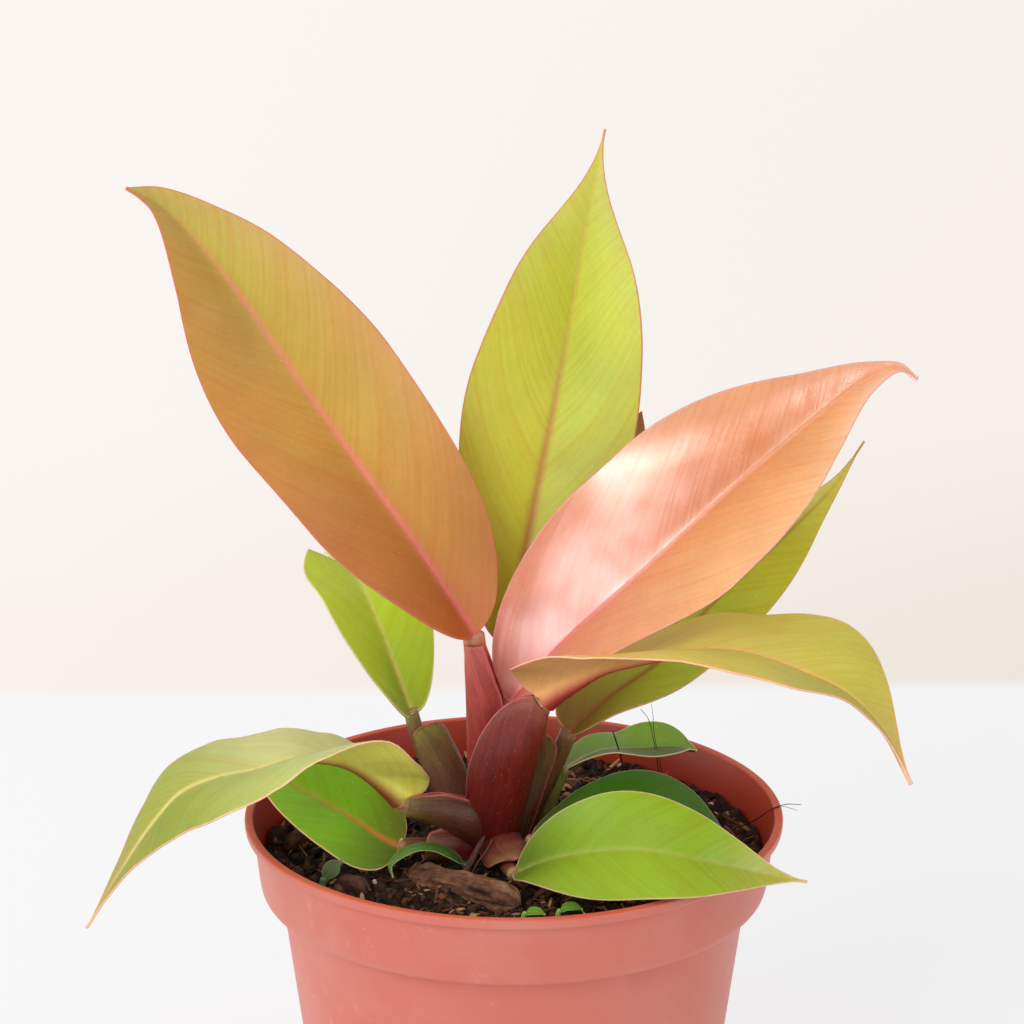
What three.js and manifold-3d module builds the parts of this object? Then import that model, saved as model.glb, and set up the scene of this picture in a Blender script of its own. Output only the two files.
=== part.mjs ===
// A potted philodendron of the prince of orange kind: leaves on sheathed stalks round one short
// stem, standing in potting mix in a twelve centimetre nursery pot of thin terracotta-red plastic.
// Millimetres, +Z up, the origin under the middle of the pot, the plant's front towards -Y.
import * as THREE from "three";
import Module from "manifold-3d";
import { mergeVertices } from "three/addons/utils/BufferGeometryUtils.js";

const wasm = await Module();
wasm.setup();

// Clearance kept round every piece that another one holds
const GAP = 0.3;

// Pot: a tapering wall, a wider collar above a shoulder, and a lip turned out at the top
const POT_HEIGHT = 100;
const POT_WALL = 1.5;
const POT_SEGMENTS = 48;
const BASE_RADIUS = 41;
const BASE_BEVEL = 1;
const WALL_TOP_RADIUS = 52;
const SHOULDER_Z = 83;
const SHOULDER_RISE = 1;
const COLLAR_LOW_RADIUS = 56.3;
const CREASE_RADIUS = 56.9;
const CREASE_Z = 87.2;
const COLLAR_BEVEL = 0.8;
const COLLAR_HIGH_RADIUS = 58;
const COLLAR_HIGH_Z = 97;
const LIP_RADIUS = 60;
// The lip's rounded edge: how far in from its radius and down from the top each corner is
const LIP_EDGE = [[0.5, 2.4], [0, 1.4], [0.4, 0.3], [1.2, 0]];
const MOUTH_INSET = 1.1;
const MOUTH_DROP = 1;
const DRAIN_COUNT = 6;
const DRAIN_RADIUS = 4;
const DRAIN_CIRCLE = 27;
const DRAIN_SEGMENTS = 14;

// Soil: fills the pot to a little under the lip, with a lumpy top
const SOIL_LEVEL = 92;
const SOIL_LUMP = 0.8;
const SOIL_SEGMENTS = 36;
const SOIL_RINGS = 7;

// Stem: the short crown that every stalk grows from; x, y, z, half width, half depth
const STEM = [
  [-5, -2, 78, 5.0, 5.0],
  [-5, -2, 90, 5.6, 5.4],
  [-5, -2, 97, 4.8, 4.4],
  [-5, -1.5, 102, 2.4, 2.2],
];

// Blades: a sheet folded along its rib, its halves curving back towards their edges
const BLADE_THICKNESS = 0.9;
const BLADE_END = 0.35;
const BLADE_CUP = [-18, -18, -10];
const WIDEST_AT = 0.42;
// How the outline's curves pull: the edge and the rib before the widest place, the edge after it,
// and the share of the width that is left shortly before the tip
const EDGE_PULL = 0.45;
const RIB_PULL = 0.15;
const TIP_PULL = 0.42;
const TIP_SHARE = 0.06;
const ARC_STEPS = 4;
const STALK_SIDES = 10;
const STEM_SIDES = 12;
const SMALL_SIDES = 7;

// How finely a blade is divided: from base to tip, and from edge to edge
const LARGE = { rows: 20, columns: 8 };
const MIDDLE = { rows: 16, columns: 6 };
const SMALL = { rows: 14, columns: 6 };
const TINY = { rows: 8, columns: 4 };

// Each leaf, from the front ones to the back ones. rib: the middle line from the joint with its stalk
// to the tip. turn: turn of the upper face about the rib, in degrees, from facing the front; fold:
// how far each half is folded up; both at equal steps from base to tip. width: at the widest place.
// widest, shoulder, hip, lobe: the outline. stalk: sections written like those of the stem.
const LEAVES = [
  {
    name: "front_right_arching", colour: 0xb5b04a, stalkColour: 0x8a2f2b, grid: LARGE,
    rib: [[7.2, -12, 131.7], [13, -15.4, 136.6], [19.5, -17.6, 141], [28, -19, 143.5],
      [40.5, -21, 146.5], [50.5, -22, 146], [62.5, -23, 142], [71.5, -25, 138], [79.5, -28, 130.5],
      [85.5, -32, 119.5]],
    turn: [-123, -88, -73, -63, -59], fold: [54, 19, 13, 27, 22], width: 47.5,
    widest: 0.58, shoulder: 0.72, hip: 0.5, lobe: 0.13,
    stalk: [[6.5, -12, 131, 2.3, 2.2], [4, -12, 128.5, 4.2, 2.5], [1.5, -11.5, 125, 5.8, 2.6],
      [-1, -11, 119.5, 6.8, 2.8], [-3, -10, 112, 7.2, 3], [-4, -9, 104, 6.4, 3.2],
      [-4.5, -7.5, 95.5, 5.2, 3.2]],
  },
  {
    name: "front_left_arching", colour: 0xb3b855, stalkColour: 0x7c3a2a, grid: LARGE,
    rib: [[-24.9, -12, 108.6], [-30, -15, 114.2], [-34, -18, 118.2], [-38.5, -21, 121],
      [-47, -24.5, 122.8], [-56, -27, 121], [-64, -29, 120], [-71.5, -30, 117], [-78, -31, 110],
      [-85, -32, 99.5], [-93, -32, 86]],
    turn: [118, 94, 72, 62, 62, 50], fold: [50, 28, 12, 5, 4, 5], width: 39,
    widest: 0.41, shoulder: 0.48, hip: 0.54, lobe: 0.11,
    stalk: [[-24.5, -12, 107, 2, 1.8], [-21, -12.2, 105.6, 2.6, 2.2], [-16, -11, 105, 3.7, 3],
      [-10.5, -9, 102, 4.4, 3.4], [-6.5, -6.5, 97.5, 4.4, 3.6]],
  },
  {
    name: "tall_left", colour: 0xb06a2c, stalkColour: 0xb04a4c, grid: LARGE,
    rib: [[-8.5, -2, 142.5], [-21, 2, 161.5], [-41.5, 6, 190.5], [-64, 10, 223], [-76, 12, 236],
      [-83, 10, 240.5]],
    turn: [44, 12, 2, 46], fold: [27, 30, 23, 22], width: 42,
    widest: 0.5, shoulder: 0.77, hip: 0.97, lobe: 0,
    stalk: [[-8.5, -2, 142, 2.3, 2.2], [-7.5, -1.5, 136, 3.2, 2.4], [-6, -1, 127, 4.4, 2.8],
      [-5.5, 0, 114.5, 4.8, 3.2], [-5, 0.5, 102.5, 5, 3.6], [-5, 0, 93.5, 4.6, 3.6]],
  },
  {
    name: "orange_right", colour: 0xe58a5c, stalkColour: 0xb8453f, grid: LARGE,
    rib: [[-0.8, 4, 123.9], [9.5, 3.8, 137.5], [28.5, 2.5, 156.5], [48, 2.5, 175.5],
      [64.5, 3.5, 190], [76.5, 3.5, 199.5], [83.5, 3.5, 202], [87.5, 3.5, 199.5]],
    turn: [-34, -23, -12, -10, -15], fold: [52, 53, 52, 46, 44], width: 52.5,
    widest: 0.49, shoulder: 0.4, hip: 0.74, lobe: 0,
    stalk: [[-1, 3.5, 123.5, 2, 1.8], [-1.5, 3, 119, 2.4, 1.8], [-2.5, 2, 108, 3, 2], [-3.5, 1, 100, 3, 2]],
  },
  {
    name: "tall_centre", colour: 0xbcbf3c, stalkColour: 0xa84a3c, grid: LARGE,
    rib: [[-1, 8, 137.5], [4, 18, 163], [11.5, 26, 200.5], [15.5, 30, 224.5], [20, 34, 247.5]],
    turn: [0, -6, -1, -1], fold: [24, 19, 50, 11], width: 43,
    widest: 0.6, shoulder: 0.37, hip: 0.5, lobe: 0.05,
    stalk: [[-1, 8, 137, 2.2, 2], [-2, 7.5, 126, 2.8, 2.3], [-3.5, 6.5, 112, 3.4, 2.6],
      [-4.5, 5, 97, 4, 3], [-5, 3, 92, 4, 3]],
  },
  {
    name: "green_right", colour: 0x7d8a1e, stalkColour: 0x8a5a34, grid: MIDDLE,
    rib: [[12.3, 8, 116], [21.8, 11, 123.5], [32.5, 14, 130.5], [45.5, 19, 143.5],
      [62.5, 24, 158.5], [72, 28, 167.5], [78.5, 30, 177]],
    turn: [-42, -12, 2], fold: [48, 30, 23], width: 24,
    widest: 0.47, shoulder: 1, hip: 0.53, lobe: 0.04,
    stalk: [[12, 8, 115.5, 2, 1.8], [9.5, 8, 111, 3.4, 2.4], [6.5, 7.5, 106.5, 3.6, 2.6],
      [3, 6, 101, 3.6, 2.8], [0.5, 3.5, 96.5, 3.6, 2.8], [-1.5, 1, 91, 3.6, 2.8]],
  },
  {
    name: "green_left", colour: 0x86a022, stalkColour: 0x7a5a3c, grid: MIDDLE,
    rib: [[-23, 14, 118.6], [-26.5, 15, 128.5], [-29.5, 17, 136.5], [-32.5, 21, 142.5],
      [-35, 28, 145], [-36, 38, 144.5], [-39.5, 50, 142.5], [-44.5, 62, 140]],
    turn: [40, 30, 26, 23], fold: [41, 27, 18, 10], width: 27,
    widest: 0.44, shoulder: 0.3, hip: 0.71, lobe: 0.08,
    stalk: [[-23, 14, 118, 1.7, 1.6], [-22, 13.5, 114, 2.2, 1.9], [-18.5, 12, 111, 4.2, 2.6],
      [-16, 10, 107, 5.4, 3], [-13.5, 7, 101, 5.2, 3.2], [-9.5, 3, 94.5, 4.4, 3.2]],
  },
  {
    name: "low_left", colour: 0x5c8a1e, stalkColour: 0x6a3426, grid: SMALL,
    rib: [[-25, -14, 97.5], [-29.5, -13, 99.5], [-35.5, -11, 103], [-45, -7, 107], [-55, -3, 111],
      [-66.5, 1, 113.5]],
    turn: [47, 47, 46], fold: [4, 18, 20], width: 26,
    widest: 0.31, shoulder: 0.88, hip: 0.68, lobe: 0.02,
    stalk: [[-25, -14, 97, 1.9, 1.7], [-19.5, -12.5, 97.5, 2.8, 2.1], [-14, -10, 95.5, 3.8, 2.5],
      [-9, -7, 93, 3.8, 2.6]],
  },
  {
    name: "low_right_front", colour: 0x8ab022, stalkColour: 0x8c4038, grid: MIDDLE,
    rib: [[0, -22, 94.5], [6.5, -28, 100], [15, -34, 104.5], [24.5, -39.5, 107.5], [34.5, -42.5, 107.5],
      [45.5, -41.5, 104.5], [54.5, -39.5, 101.5], [63, -38, 99.5]],
    turn: [-56, -29, -24], fold: [38, 15, 25], width: 26.5,
    widest: 0.42, shoulder: 0.24, hip: 0.76, lobe: 0,
    stalk: [[-0.5, -22, 94, 1.7, 1.4], [-1, -18.5, 94.5, 3.4, 1.8], [-2, -14, 95.5, 4.8, 2.2],
      [-3, -10, 96.5, 4.6, 2.4]],
  },
  {
    name: "low_right_back", colour: 0x4c7c1c, stalkColour: 0x9a8a6a, grid: SMALL,
    rib: [[4, -11, 98], [8.5, -10, 100.5], [17, -9, 104.5], [28, -8, 106.5], [38, -8, 104],
      [45, -9, 99], [50.5, -12, 94]],
    turn: [-62, -58, -62], fold: [6, 10, 4], width: 21,
    widest: 0.5, shoulder: 0.5, hip: 0.7, lobe: 0,
    stalk: [[4, -11, 98, 1.7, 1.5], [3, -10.5, 95.5, 1.9, 1.7], [1.5, -9.5, 91.5, 2, 1.8],
      [0, -8, 88, 2, 1.8]],
  },
  {
    name: "back_right", colour: 0x5c8a24, stalkColour: 0x7c8a3c, grid: SMALL,
    rib: [[11, 9, 106.5], [15, 12, 108], [20, 15, 109], [28.5, 20, 107.5], [36, 26, 105.5],
      [42, 31, 102.5]],
    turn: [-75, -75, -56], fold: [20, 12, 45], width: 19,
    widest: 0.6, shoulder: 0.65, hip: 0.95, lobe: 0,
    stalk: [[11, 9, 106, 1.5, 1.4], [9.5, 8.5, 102.5, 1.6, 1.5], [8, 8, 99, 1.7, 1.6],
      [6.5, 7, 95, 1.8, 1.7], [5, 6, 90, 1.8, 1.7]],
  },
  {
    name: "dry_tipped_back", colour: 0x8a8a3a, stalkColour: 0x8a5a3c, grid: MIDDLE,
    rib: [[3.5, 17, 122.5], [7.5, 20, 132], [11.5, 24, 141.5], [16, 28, 153], [20.5, 32, 162.5],
      [25, 35, 172], [28.8, 38, 181.5]],
    turn: [-20, -12, -2], fold: [40, 32, 19], width: 24.5,
    widest: 0.5, shoulder: 0.6, hip: 0.98, lobe: 0,
    stalk: [[3.5, 17, 122, 1.7, 1.6], [2, 15.5, 116, 2.2, 1.9], [-0.5, 13, 108.5, 2.8, 2.3],
      [-2, 10.5, 101, 3, 2.6], [-3, 8, 90, 3, 2.6]],
  },
  {
    name: "curled_front", colour: 0x4f8a3a, stalkColour: 0x3c6a34, grid: SMALL,
    rib: [[-11, -16, 94.5], [-14, -17.5, 97.3], [-17.5, -18.5, 99.3], [-21, -19.5, 99.8],
      [-24.5, -21, 98.8], [-27, -23, 96.8], [-26.5, -24.5, 94.4]],
    turn: [60, 70, 60], fold: [10, 0, 0], width: 4.6,
    widest: 0.6, shoulder: 0.8, hip: 0.9, lobe: 0,
    stalk: [[-10.9, -16, 94.3, 1, 0.9], [-10.6, -15.8, 93, 1, 0.9], [-10.4, -15.6, 90, 1, 0.9]],
  },
  {
    name: "small_left", colour: 0x6c9468, stalkColour: 0x5a7a54, grid: TINY,
    rib: [[-41.2, -25, 94.6], [-40.2, -25, 96], [-39, -24.8, 97.4], [-37.4, -24.4, 98.6]],
    turn: [10, 10, 10], fold: [10, 10, 10], width: 3.6,
    widest: 0.5, shoulder: 0.7, hip: 0.8, lobe: 0,
    stalk: [[-41.4, -25, 94.3, 0.8, 0.7], [-41.8, -25, 92.8, 0.8, 0.7], [-42, -25, 90, 0.8, 0.7]],
  },
  {
    name: "seedling_left", colour: 0x78b43a, stalkColour: 0x8ab45a, grid: TINY,
    rib: [[2.6, -43.4, 94.6], [3.8, -44, 95.2], [5.2, -44.6, 95.3], [6.8, -45.2, 95]],
    turn: [-60, -60, -60], fold: [15, 15, 10], width: 3,
    widest: 0.5, shoulder: 0.9, hip: 0.8, lobe: 0,
    stalk: [[2.4, -43.4, 94.4, 0.7, 0.6], [2, -43.2, 93, 0.7, 0.6], [1.8, -43, 90, 0.7, 0.6]],
  },
  {
    name: "seedling_right", colour: 0x78b43a, stalkColour: 0x8ab45a, grid: TINY,
    rib: [[10, -42.8, 95], [11.4, -43.2, 95.9], [13, -43.6, 96], [14.8, -44, 95.6]],
    turn: [-60, -60, -60], fold: [15, 15, 10], width: 3.2,
    widest: 0.5, shoulder: 0.9, hip: 0.8, lobe: 0,
    stalk: [[9.8, -42.8, 94.8, 0.7, 0.6], [9.4, -42.6, 93.2, 0.7, 0.6], [9.2, -42.4, 90, 0.7, 0.6]],
  },
];

// Pieces of bark and a twig lying in the soil, written like the stem's sections
const LITTER = [
  {
    name: "bark_chunk", colour: 0x4a3730,
    sections: [[-23.5, -18.5, 93, 1.4, 1.4], [-19, -21, 93.3, 2.6, 2.2], [-11, -27, 93.6, 2.9, 2.8],
      [-3, -33, 93.6, 3.4, 3], [1.2, -36, 93.2, 2.2, 2]],
  },
  {
    name: "bark_chip_front", colour: 0x5a4238,
    sections: [[-38.6, -22.6, 92.8, 1, 1.2], [-37, -23.6, 93, 2, 1.8], [-33.6, -26, 93, 2.2, 2],
      [-31.6, -27.4, 92.6, 1.2, 1.2]],
  },
  {
    name: "bark_chip_left", colour: 0x5c382c,
    sections: [[-50.5, -3.5, 92.6, 1.2, 1.2], [-48.8, -1, 93, 2.4, 1.8], [-47.4, 2.6, 93, 2.2, 1.8],
      [-47, 5, 92.6, 1.2, 1.2]],
  },
  {
    name: "twig", colour: 0x4a2c26,
    sections: [[-6.3, -13.3, 100, 0.45, 0.45], [-9, -17.4, 96.2, 0.6, 0.6],
      [-11.2, -20.8, 93, 0.65, 0.65], [-12.2, -22.4, 91, 0.65, 0.65]],
  },
];

const frontDirection = new THREE.Vector3(0, -0.94, 0.34).normalize();
const radians = THREE.MathUtils.degToRad;

function vector(values) {
  return new THREE.Vector3(values[0], values[1], values[2]);
}

function curveThrough(points) {
  return new THREE.CatmullRomCurve3(points.map(vector), false, "centripetal");
}

function bezier(t, a, b, c, d) {
  const r = 1 - t;
  return a * r ** 3 + 3 * b * t * r ** 2 + 3 * c * t ** 2 * r + d * t ** 3;
}

// A value given at equal steps along a leaf, eased from one step to the next
function eased(values, s) {
  const last = values.length - 1;
  const place = THREE.MathUtils.clamp(s, 0, 1) * last;
  const step = Math.min(Math.floor(place), last - 1);
  const r = THREE.MathUtils.smoothstep(place - step, 0, 1);
  return THREE.MathUtils.lerp(values[step], values[step + 1], r);
}

// Outline of a blade: place of the edge and of the rib along the leaf, and share of the half width
function outlineAt(leaf, t) {
  if (t < WIDEST_AT) {
    const r = t / WIDEST_AT;
    return {
      edge: bezier(r, 0, -leaf.lobe, leaf.widest * EDGE_PULL, leaf.widest),
      rib: bezier(r, 0, leaf.widest * RIB_PULL, leaf.widest * EDGE_PULL, leaf.widest),
      share: bezier(r, 0, leaf.shoulder, 1, 1),
    };
  }
  const r = (t - WIDEST_AT) / (1 - WIDEST_AT);
  const rest = 1 - leaf.widest;
  const edge = bezier(r, leaf.widest, leaf.widest + rest * TIP_PULL, leaf.widest + rest * leaf.hip, 1);
  return { edge, rib: edge, share: bezier(r, 1, 1, TIP_SHARE, 0) };
}

// One point of a folded sheet: u runs from -1 at the left edge to 1 at the right edge
function bladePoint(section, u) {
  const { middle, along, up, right, fold, cup, half, lag } = section;
  const a = Math.abs(u);
  const side = Math.sign(u);
  let out = 0;
  let rise = 0;
  for (let k = 0; k < ARC_STEPS; k += 1) {
    const angle = fold + cup * (k + 0.5) / ARC_STEPS * a;
    out += Math.cos(angle) * a / ARC_STEPS;
    rise += Math.sin(angle) * a / ARC_STEPS;
  }
  const point = middle.clone().addScaledVector(along, -lag * a * a);
  point.addScaledVector(right, side * half * out).addScaledVector(up, half * rise);
  const slope = a === 0 ? 0 : fold + cup * a;
  const normal = up.clone().multiplyScalar(Math.cos(slope)).addScaledVector(right, -side * Math.sin(slope));
  return { point, normal };
}

// Points of a blade's upper face with the directions square to it, in rows from base to tip
function bladeRows(leaf, grow) {
  const { rows, columns } = leaf.grid;
  const curve = curveThrough(leaf.rib);
  const length = curve.getLength();
  const result = [];
  for (let i = 0; i <= rows; i += 1) {
    const at = outlineAt(leaf, i / rows);
    const along = curve.getTangentAt(at.rib);
    const middle = curve.getPointAt(at.rib);
    if (i === 0) {
      middle.addScaledVector(along, -grow);
    }
    const level = frontDirection.clone().projectOnPlane(along).normalize();
    const across = new THREE.Vector3().crossVectors(along, level);
    const turn = radians(eased(leaf.turn, at.rib));
    const up = level.multiplyScalar(Math.cos(turn)).addScaledVector(across, Math.sin(turn));
    const section = {
      middle,
      along,
      up,
      right: new THREE.Vector3().crossVectors(along, up),
      fold: radians(eased(leaf.fold, at.rib)),
      cup: radians(eased(BLADE_CUP, at.rib)),
      half: Math.max(leaf.width / 2 * at.share, BLADE_END) + grow,
      lag: (at.rib - at.edge) * length,
    };
    const row = [];
    for (let j = 0; j <= columns; j += 1) {
      row.push(bladePoint(section, 2 * j / columns - 1));
    }
    result.push(row);
  }
  return result;
}

function meshGeometry(points, indices) {
  const geometry = new THREE.BufferGeometry().setFromPoints(points);
  geometry.setIndex(indices);
  return geometry;
}

// Closed shell between two grids of points, the first on top, both split into triangles alike
function shellGeometry(top, bottom) {
  const rows = top.length;
  const columns = top[0].length;
  const under = rows * columns;
  const indices = [];
  const quad = (a, b, c, d) => indices.push(a, b, c, a, c, d);
  for (let i = 0; i < rows - 1; i += 1) {
    for (let j = 0; j < columns - 1; j += 1) {
      const a = i * columns + j;
      const b = a + 1 + columns;
      quad(a, a + 1, b, a + columns);
      indices.push(under + a, under + b, under + a + 1);
      indices.push(under + a, under + a + columns, under + b);
    }
    const left = i * columns;
    const right = left + columns - 1;
    quad(left, left + columns, under + left + columns, under + left);
    quad(right, under + right, under + right + columns, right + columns);
  }
  for (let j = 0; j < columns - 1; j += 1) {
    const last = (rows - 1) * columns + j;
    quad(j, under + j, under + j + 1, j + 1);
    quad(last, last + 1, under + last + 1, under + last);
  }
  return meshGeometry([...top.flat(), ...bottom.flat()], indices);
}

function bladeGeometry(leaf, grow = 0) {
  const rows = bladeRows(leaf, grow);
  const shifted = (p, amount) => p.point.clone().addScaledVector(p.normal, amount);
  const moved = (amount) => rows.map((row) => row.map((p) => shifted(p, amount)));
  return shellGeometry(moved(grow), moved(-BLADE_THICKNESS - grow));
}

// Closed solid from rings of points, each ring with the same number of points
function solidFromRings(points, rings, sides) {
  const indices = [];
  for (let i = 0; i < rings - 1; i += 1) {
    for (let k = 0; k < sides; k += 1) {
      const a = i * sides + k;
      const b = i * sides + (k + 1) % sides;
      indices.push(a, b + sides, b, a, a + sides, b + sides);
    }
  }
  const last = (rings - 1) * sides;
  for (let k = 1; k < sides - 1; k += 1) {
    indices.push(0, k, k + 1);
    indices.push(last, last + k + 1, last + k);
  }
  return meshGeometry(points, indices);
}

// Smooth solid through oval sections: x, y, z, half width and half depth at each one
function loftGeometry(sections, sides, grow = 0) {
  const centre = curveThrough(sections);
  const sizes = new THREE.CatmullRomCurve3(sections.map((s) => new THREE.Vector3(s[3], s[4], 0)));
  const steps = (sections.length - 1) * 2;
  const points = [];
  for (let i = 0; i <= steps; i += 1) {
    const at = centre.getPoint(i / steps);
    const along = centre.getTangent(i / steps);
    const size = sizes.getPoint(i / steps);
    const wide = new THREE.Vector3().crossVectors(along, frontDirection).normalize();
    const deep = new THREE.Vector3().crossVectors(wide, along);
    if (i === 0) {
      at.addScaledVector(along, -grow);
    }
    if (i === steps) {
      at.addScaledVector(along, grow);
    }
    for (let k = 0; k < sides; k += 1) {
      const angle = 2 * Math.PI * k / sides;
      const p = at.clone().addScaledVector(wide, (size.x + grow) * Math.cos(angle));
      points.push(p.addScaledVector(deep, (size.y + grow) * Math.sin(angle)));
    }
  }
  return solidFromRings(points, steps + 1, sides);
}

function toSolid(geometry) {
  const bare = geometry.clone();
  bare.deleteAttribute("normal");
  bare.deleteAttribute("uv");
  const merged = mergeVertices(bare, 1e-4);
  return new wasm.Manifold(new wasm.Mesh({
    numProp: 3,
    vertProperties: new Float32Array(merged.attributes.position.array),
    triVerts: new Uint32Array(merged.index.array),
  }));
}

function toGeometry(solid) {
  const mesh = solid.getMesh();
  const geometry = new THREE.BufferGeometry();
  geometry.setAttribute("position", new THREE.BufferAttribute(new Float32Array(mesh.vertProperties), 3));
  geometry.setIndex(new THREE.BufferAttribute(new Uint32Array(mesh.triVerts), 1));
  return geometry;
}

function loft(sections, sides, grow = 0) {
  return toSolid(loftGeometry(sections, sides, grow));
}

function largestPiece(solid) {
  return solid.decompose().reduce((a, b) => (a.volume() > b.volume() ? a : b));
}

function makeMesh(name, solid, colour, roughness) {
  const look = { color: colour, roughness, metalness: 0, flatShading: true };
  const mesh = new THREE.Mesh(toGeometry(solid), new THREE.MeshStandardMaterial(look));
  mesh.name = name;
  return mesh;
}

// Solid turned about the pot's axis from radius and height pairs that start and end on the axis
function turned(profile, segments) {
  const points = profile.map(([r, z]) => new THREE.Vector2(r, z));
  return toSolid(new THREE.LatheGeometry(points, segments).rotateX(Math.PI / 2));
}

function potSolid() {
  let pot = turned([
    [0, 0], [BASE_RADIUS - BASE_BEVEL, 0], [BASE_RADIUS, BASE_BEVEL],
    [WALL_TOP_RADIUS, SHOULDER_Z - SHOULDER_RISE],
    [COLLAR_LOW_RADIUS - COLLAR_BEVEL, SHOULDER_Z], [COLLAR_LOW_RADIUS, SHOULDER_Z + COLLAR_BEVEL],
    [CREASE_RADIUS, CREASE_Z], [COLLAR_HIGH_RADIUS, COLLAR_HIGH_Z],
    ...LIP_EDGE.map(([inward, down]) => [LIP_RADIUS - inward, POT_HEIGHT - down]),
    [COLLAR_HIGH_RADIUS - MOUTH_INSET, POT_HEIGHT - MOUTH_DROP],
    ...cavityProfile(0),
  ], POT_SEGMENTS);
  const length = 4 * POT_WALL;
  const drain = new THREE.CylinderGeometry(DRAIN_RADIUS, DRAIN_RADIUS, length, DRAIN_SEGMENTS);
  drain.rotateX(Math.PI / 2);
  for (let k = 0; k < DRAIN_COUNT; k += 1) {
    const angle = 2 * Math.PI * k / DRAIN_COUNT;
    const place = [DRAIN_CIRCLE * Math.cos(angle), DRAIN_CIRCLE * Math.sin(angle), 0];
    pot = pot.subtract(toSolid(drain.clone().translate(...place)));
  }
  return pot;
}

// Inside of the pot from the top of the collar down to the middle of the floor, drawn in by a clearance
function cavityProfile(clearance) {
  const inset = POT_WALL + clearance;
  return [
    [COLLAR_HIGH_RADIUS - inset, COLLAR_HIGH_Z], [CREASE_RADIUS - inset, CREASE_Z],
    [COLLAR_LOW_RADIUS - inset, SHOULDER_Z + inset],
    [WALL_TOP_RADIUS - inset, SHOULDER_Z - SHOULDER_RISE + inset],
    [BASE_RADIUS - inset, inset], [0, inset],
  ];
}

// Height of the soil at a place: two slow waves and one quicker one, crossing
function soilHeight(x, y) {
  const slow = Math.sin(0.21 * x + 0.13 * y) * Math.cos(0.17 * y - 0.09 * x);
  const quick = Math.sin(0.47 * x - 1.1) * Math.sin(0.52 * y + 0.6);
  return SOIL_LEVEL + SOIL_LUMP * (0.6 * slow + 0.4 * quick);
}

// Soil with its lumpy top; the holes are for the pieces that stand in it
function soilSolid(holes) {
  const side = cavityProfile(GAP).slice(1);
  const radius = CREASE_RADIUS - POT_WALL - GAP;
  const rings = [];
  for (let k = 0; k < SOIL_RINGS; k += 1) {
    rings.push([radius * k / SOIL_RINGS, SOIL_LEVEL]);
  }
  const points = [...side.reverse(), [radius, SOIL_LEVEL], ...rings.reverse()];
  const shape = points.map(([r, z]) => new THREE.Vector2(r, z));
  const geometry = new THREE.LatheGeometry(shape, SOIL_SEGMENTS).rotateX(Math.PI / 2);
  const position = geometry.attributes.position;
  for (let i = 0; i < position.count; i += 1) {
    if (position.getZ(i) > SOIL_LEVEL - 0.01) {
      position.setZ(i, soilHeight(position.getX(i), position.getY(i)));
    }
  }
  return holes.reduce((soil, hole) => soil.subtract(hole), toSolid(geometry));
}

// The stem first, then each leaf's blade and its stalk, cut back where it meets those before it
function makePlant() {
  const plant = new THREE.Group();
  plant.add(makeMesh("stem", loft(STEM, STEM_SIDES), 0x6a1f1c, 0.5));
  const taken = [loft(STEM, STEM_SIDES, GAP)];
  for (const leaf of LEAVES) {
    const sides = leaf.grid === TINY ? SMALL_SIDES : STALK_SIDES;
    const own = toSolid(bladeGeometry(leaf, GAP));
    const stalk = [...taken, own].reduce((rest, other) => rest.subtract(other), loft(leaf.stalk, sides));
    plant.add(makeMesh(`leaf_${leaf.name}`, toSolid(bladeGeometry(leaf)), leaf.colour, 0.4));
    plant.add(makeMesh(`stalk_${leaf.name}`, largestPiece(stalk), leaf.stalkColour, 0.45));
    taken.push(loft(leaf.stalk, sides, GAP));
  }
  return { plant, taken };
}

const potted = new THREE.Group();
const { plant, taken } = makePlant();
const litter = new THREE.Group();
for (const piece of LITTER) {
  litter.add(makeMesh(piece.name, loft(piece.sections, SMALL_SIDES), piece.colour, 0.9));
  taken.push(loft(piece.sections, SMALL_SIDES, GAP));
}
potted.add(makeMesh("pot", potSolid(), 0xb4533f, 0.45));
potted.add(makeMesh("soil", soilSolid(taken), 0x2a1c16, 0.95));
potted.add(litter, plant);

export default potted;
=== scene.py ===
"""Looks of a potted philodendron of the prince of orange kind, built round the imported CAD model.

The leaves, stalks, pot and soil are made again as fine meshes from the same named values as the
solids that they replace. Lengths in the tables are millimetres and angles are degrees, with +Z up
and the front of the plant towards -Y; everything is turned into metres when a mesh is made.
"""
import math

import bpy
import numpy as np
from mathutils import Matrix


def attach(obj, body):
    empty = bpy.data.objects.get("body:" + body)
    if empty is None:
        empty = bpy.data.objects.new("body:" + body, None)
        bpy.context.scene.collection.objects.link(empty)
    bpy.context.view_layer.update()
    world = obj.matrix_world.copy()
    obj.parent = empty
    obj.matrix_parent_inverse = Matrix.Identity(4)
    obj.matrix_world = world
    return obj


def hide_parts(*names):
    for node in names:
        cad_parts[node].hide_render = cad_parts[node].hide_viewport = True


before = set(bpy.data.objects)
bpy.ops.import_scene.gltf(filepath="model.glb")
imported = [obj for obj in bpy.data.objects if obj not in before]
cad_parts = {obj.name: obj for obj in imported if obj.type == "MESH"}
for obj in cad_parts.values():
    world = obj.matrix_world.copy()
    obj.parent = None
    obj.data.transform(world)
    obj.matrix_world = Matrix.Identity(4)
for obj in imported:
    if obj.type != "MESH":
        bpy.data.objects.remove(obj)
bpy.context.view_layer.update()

MM = 0.001
SEED = 11
FRONT = np.array([0.0, -0.94, 0.34]) / math.hypot(0.94, 0.34)

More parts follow.
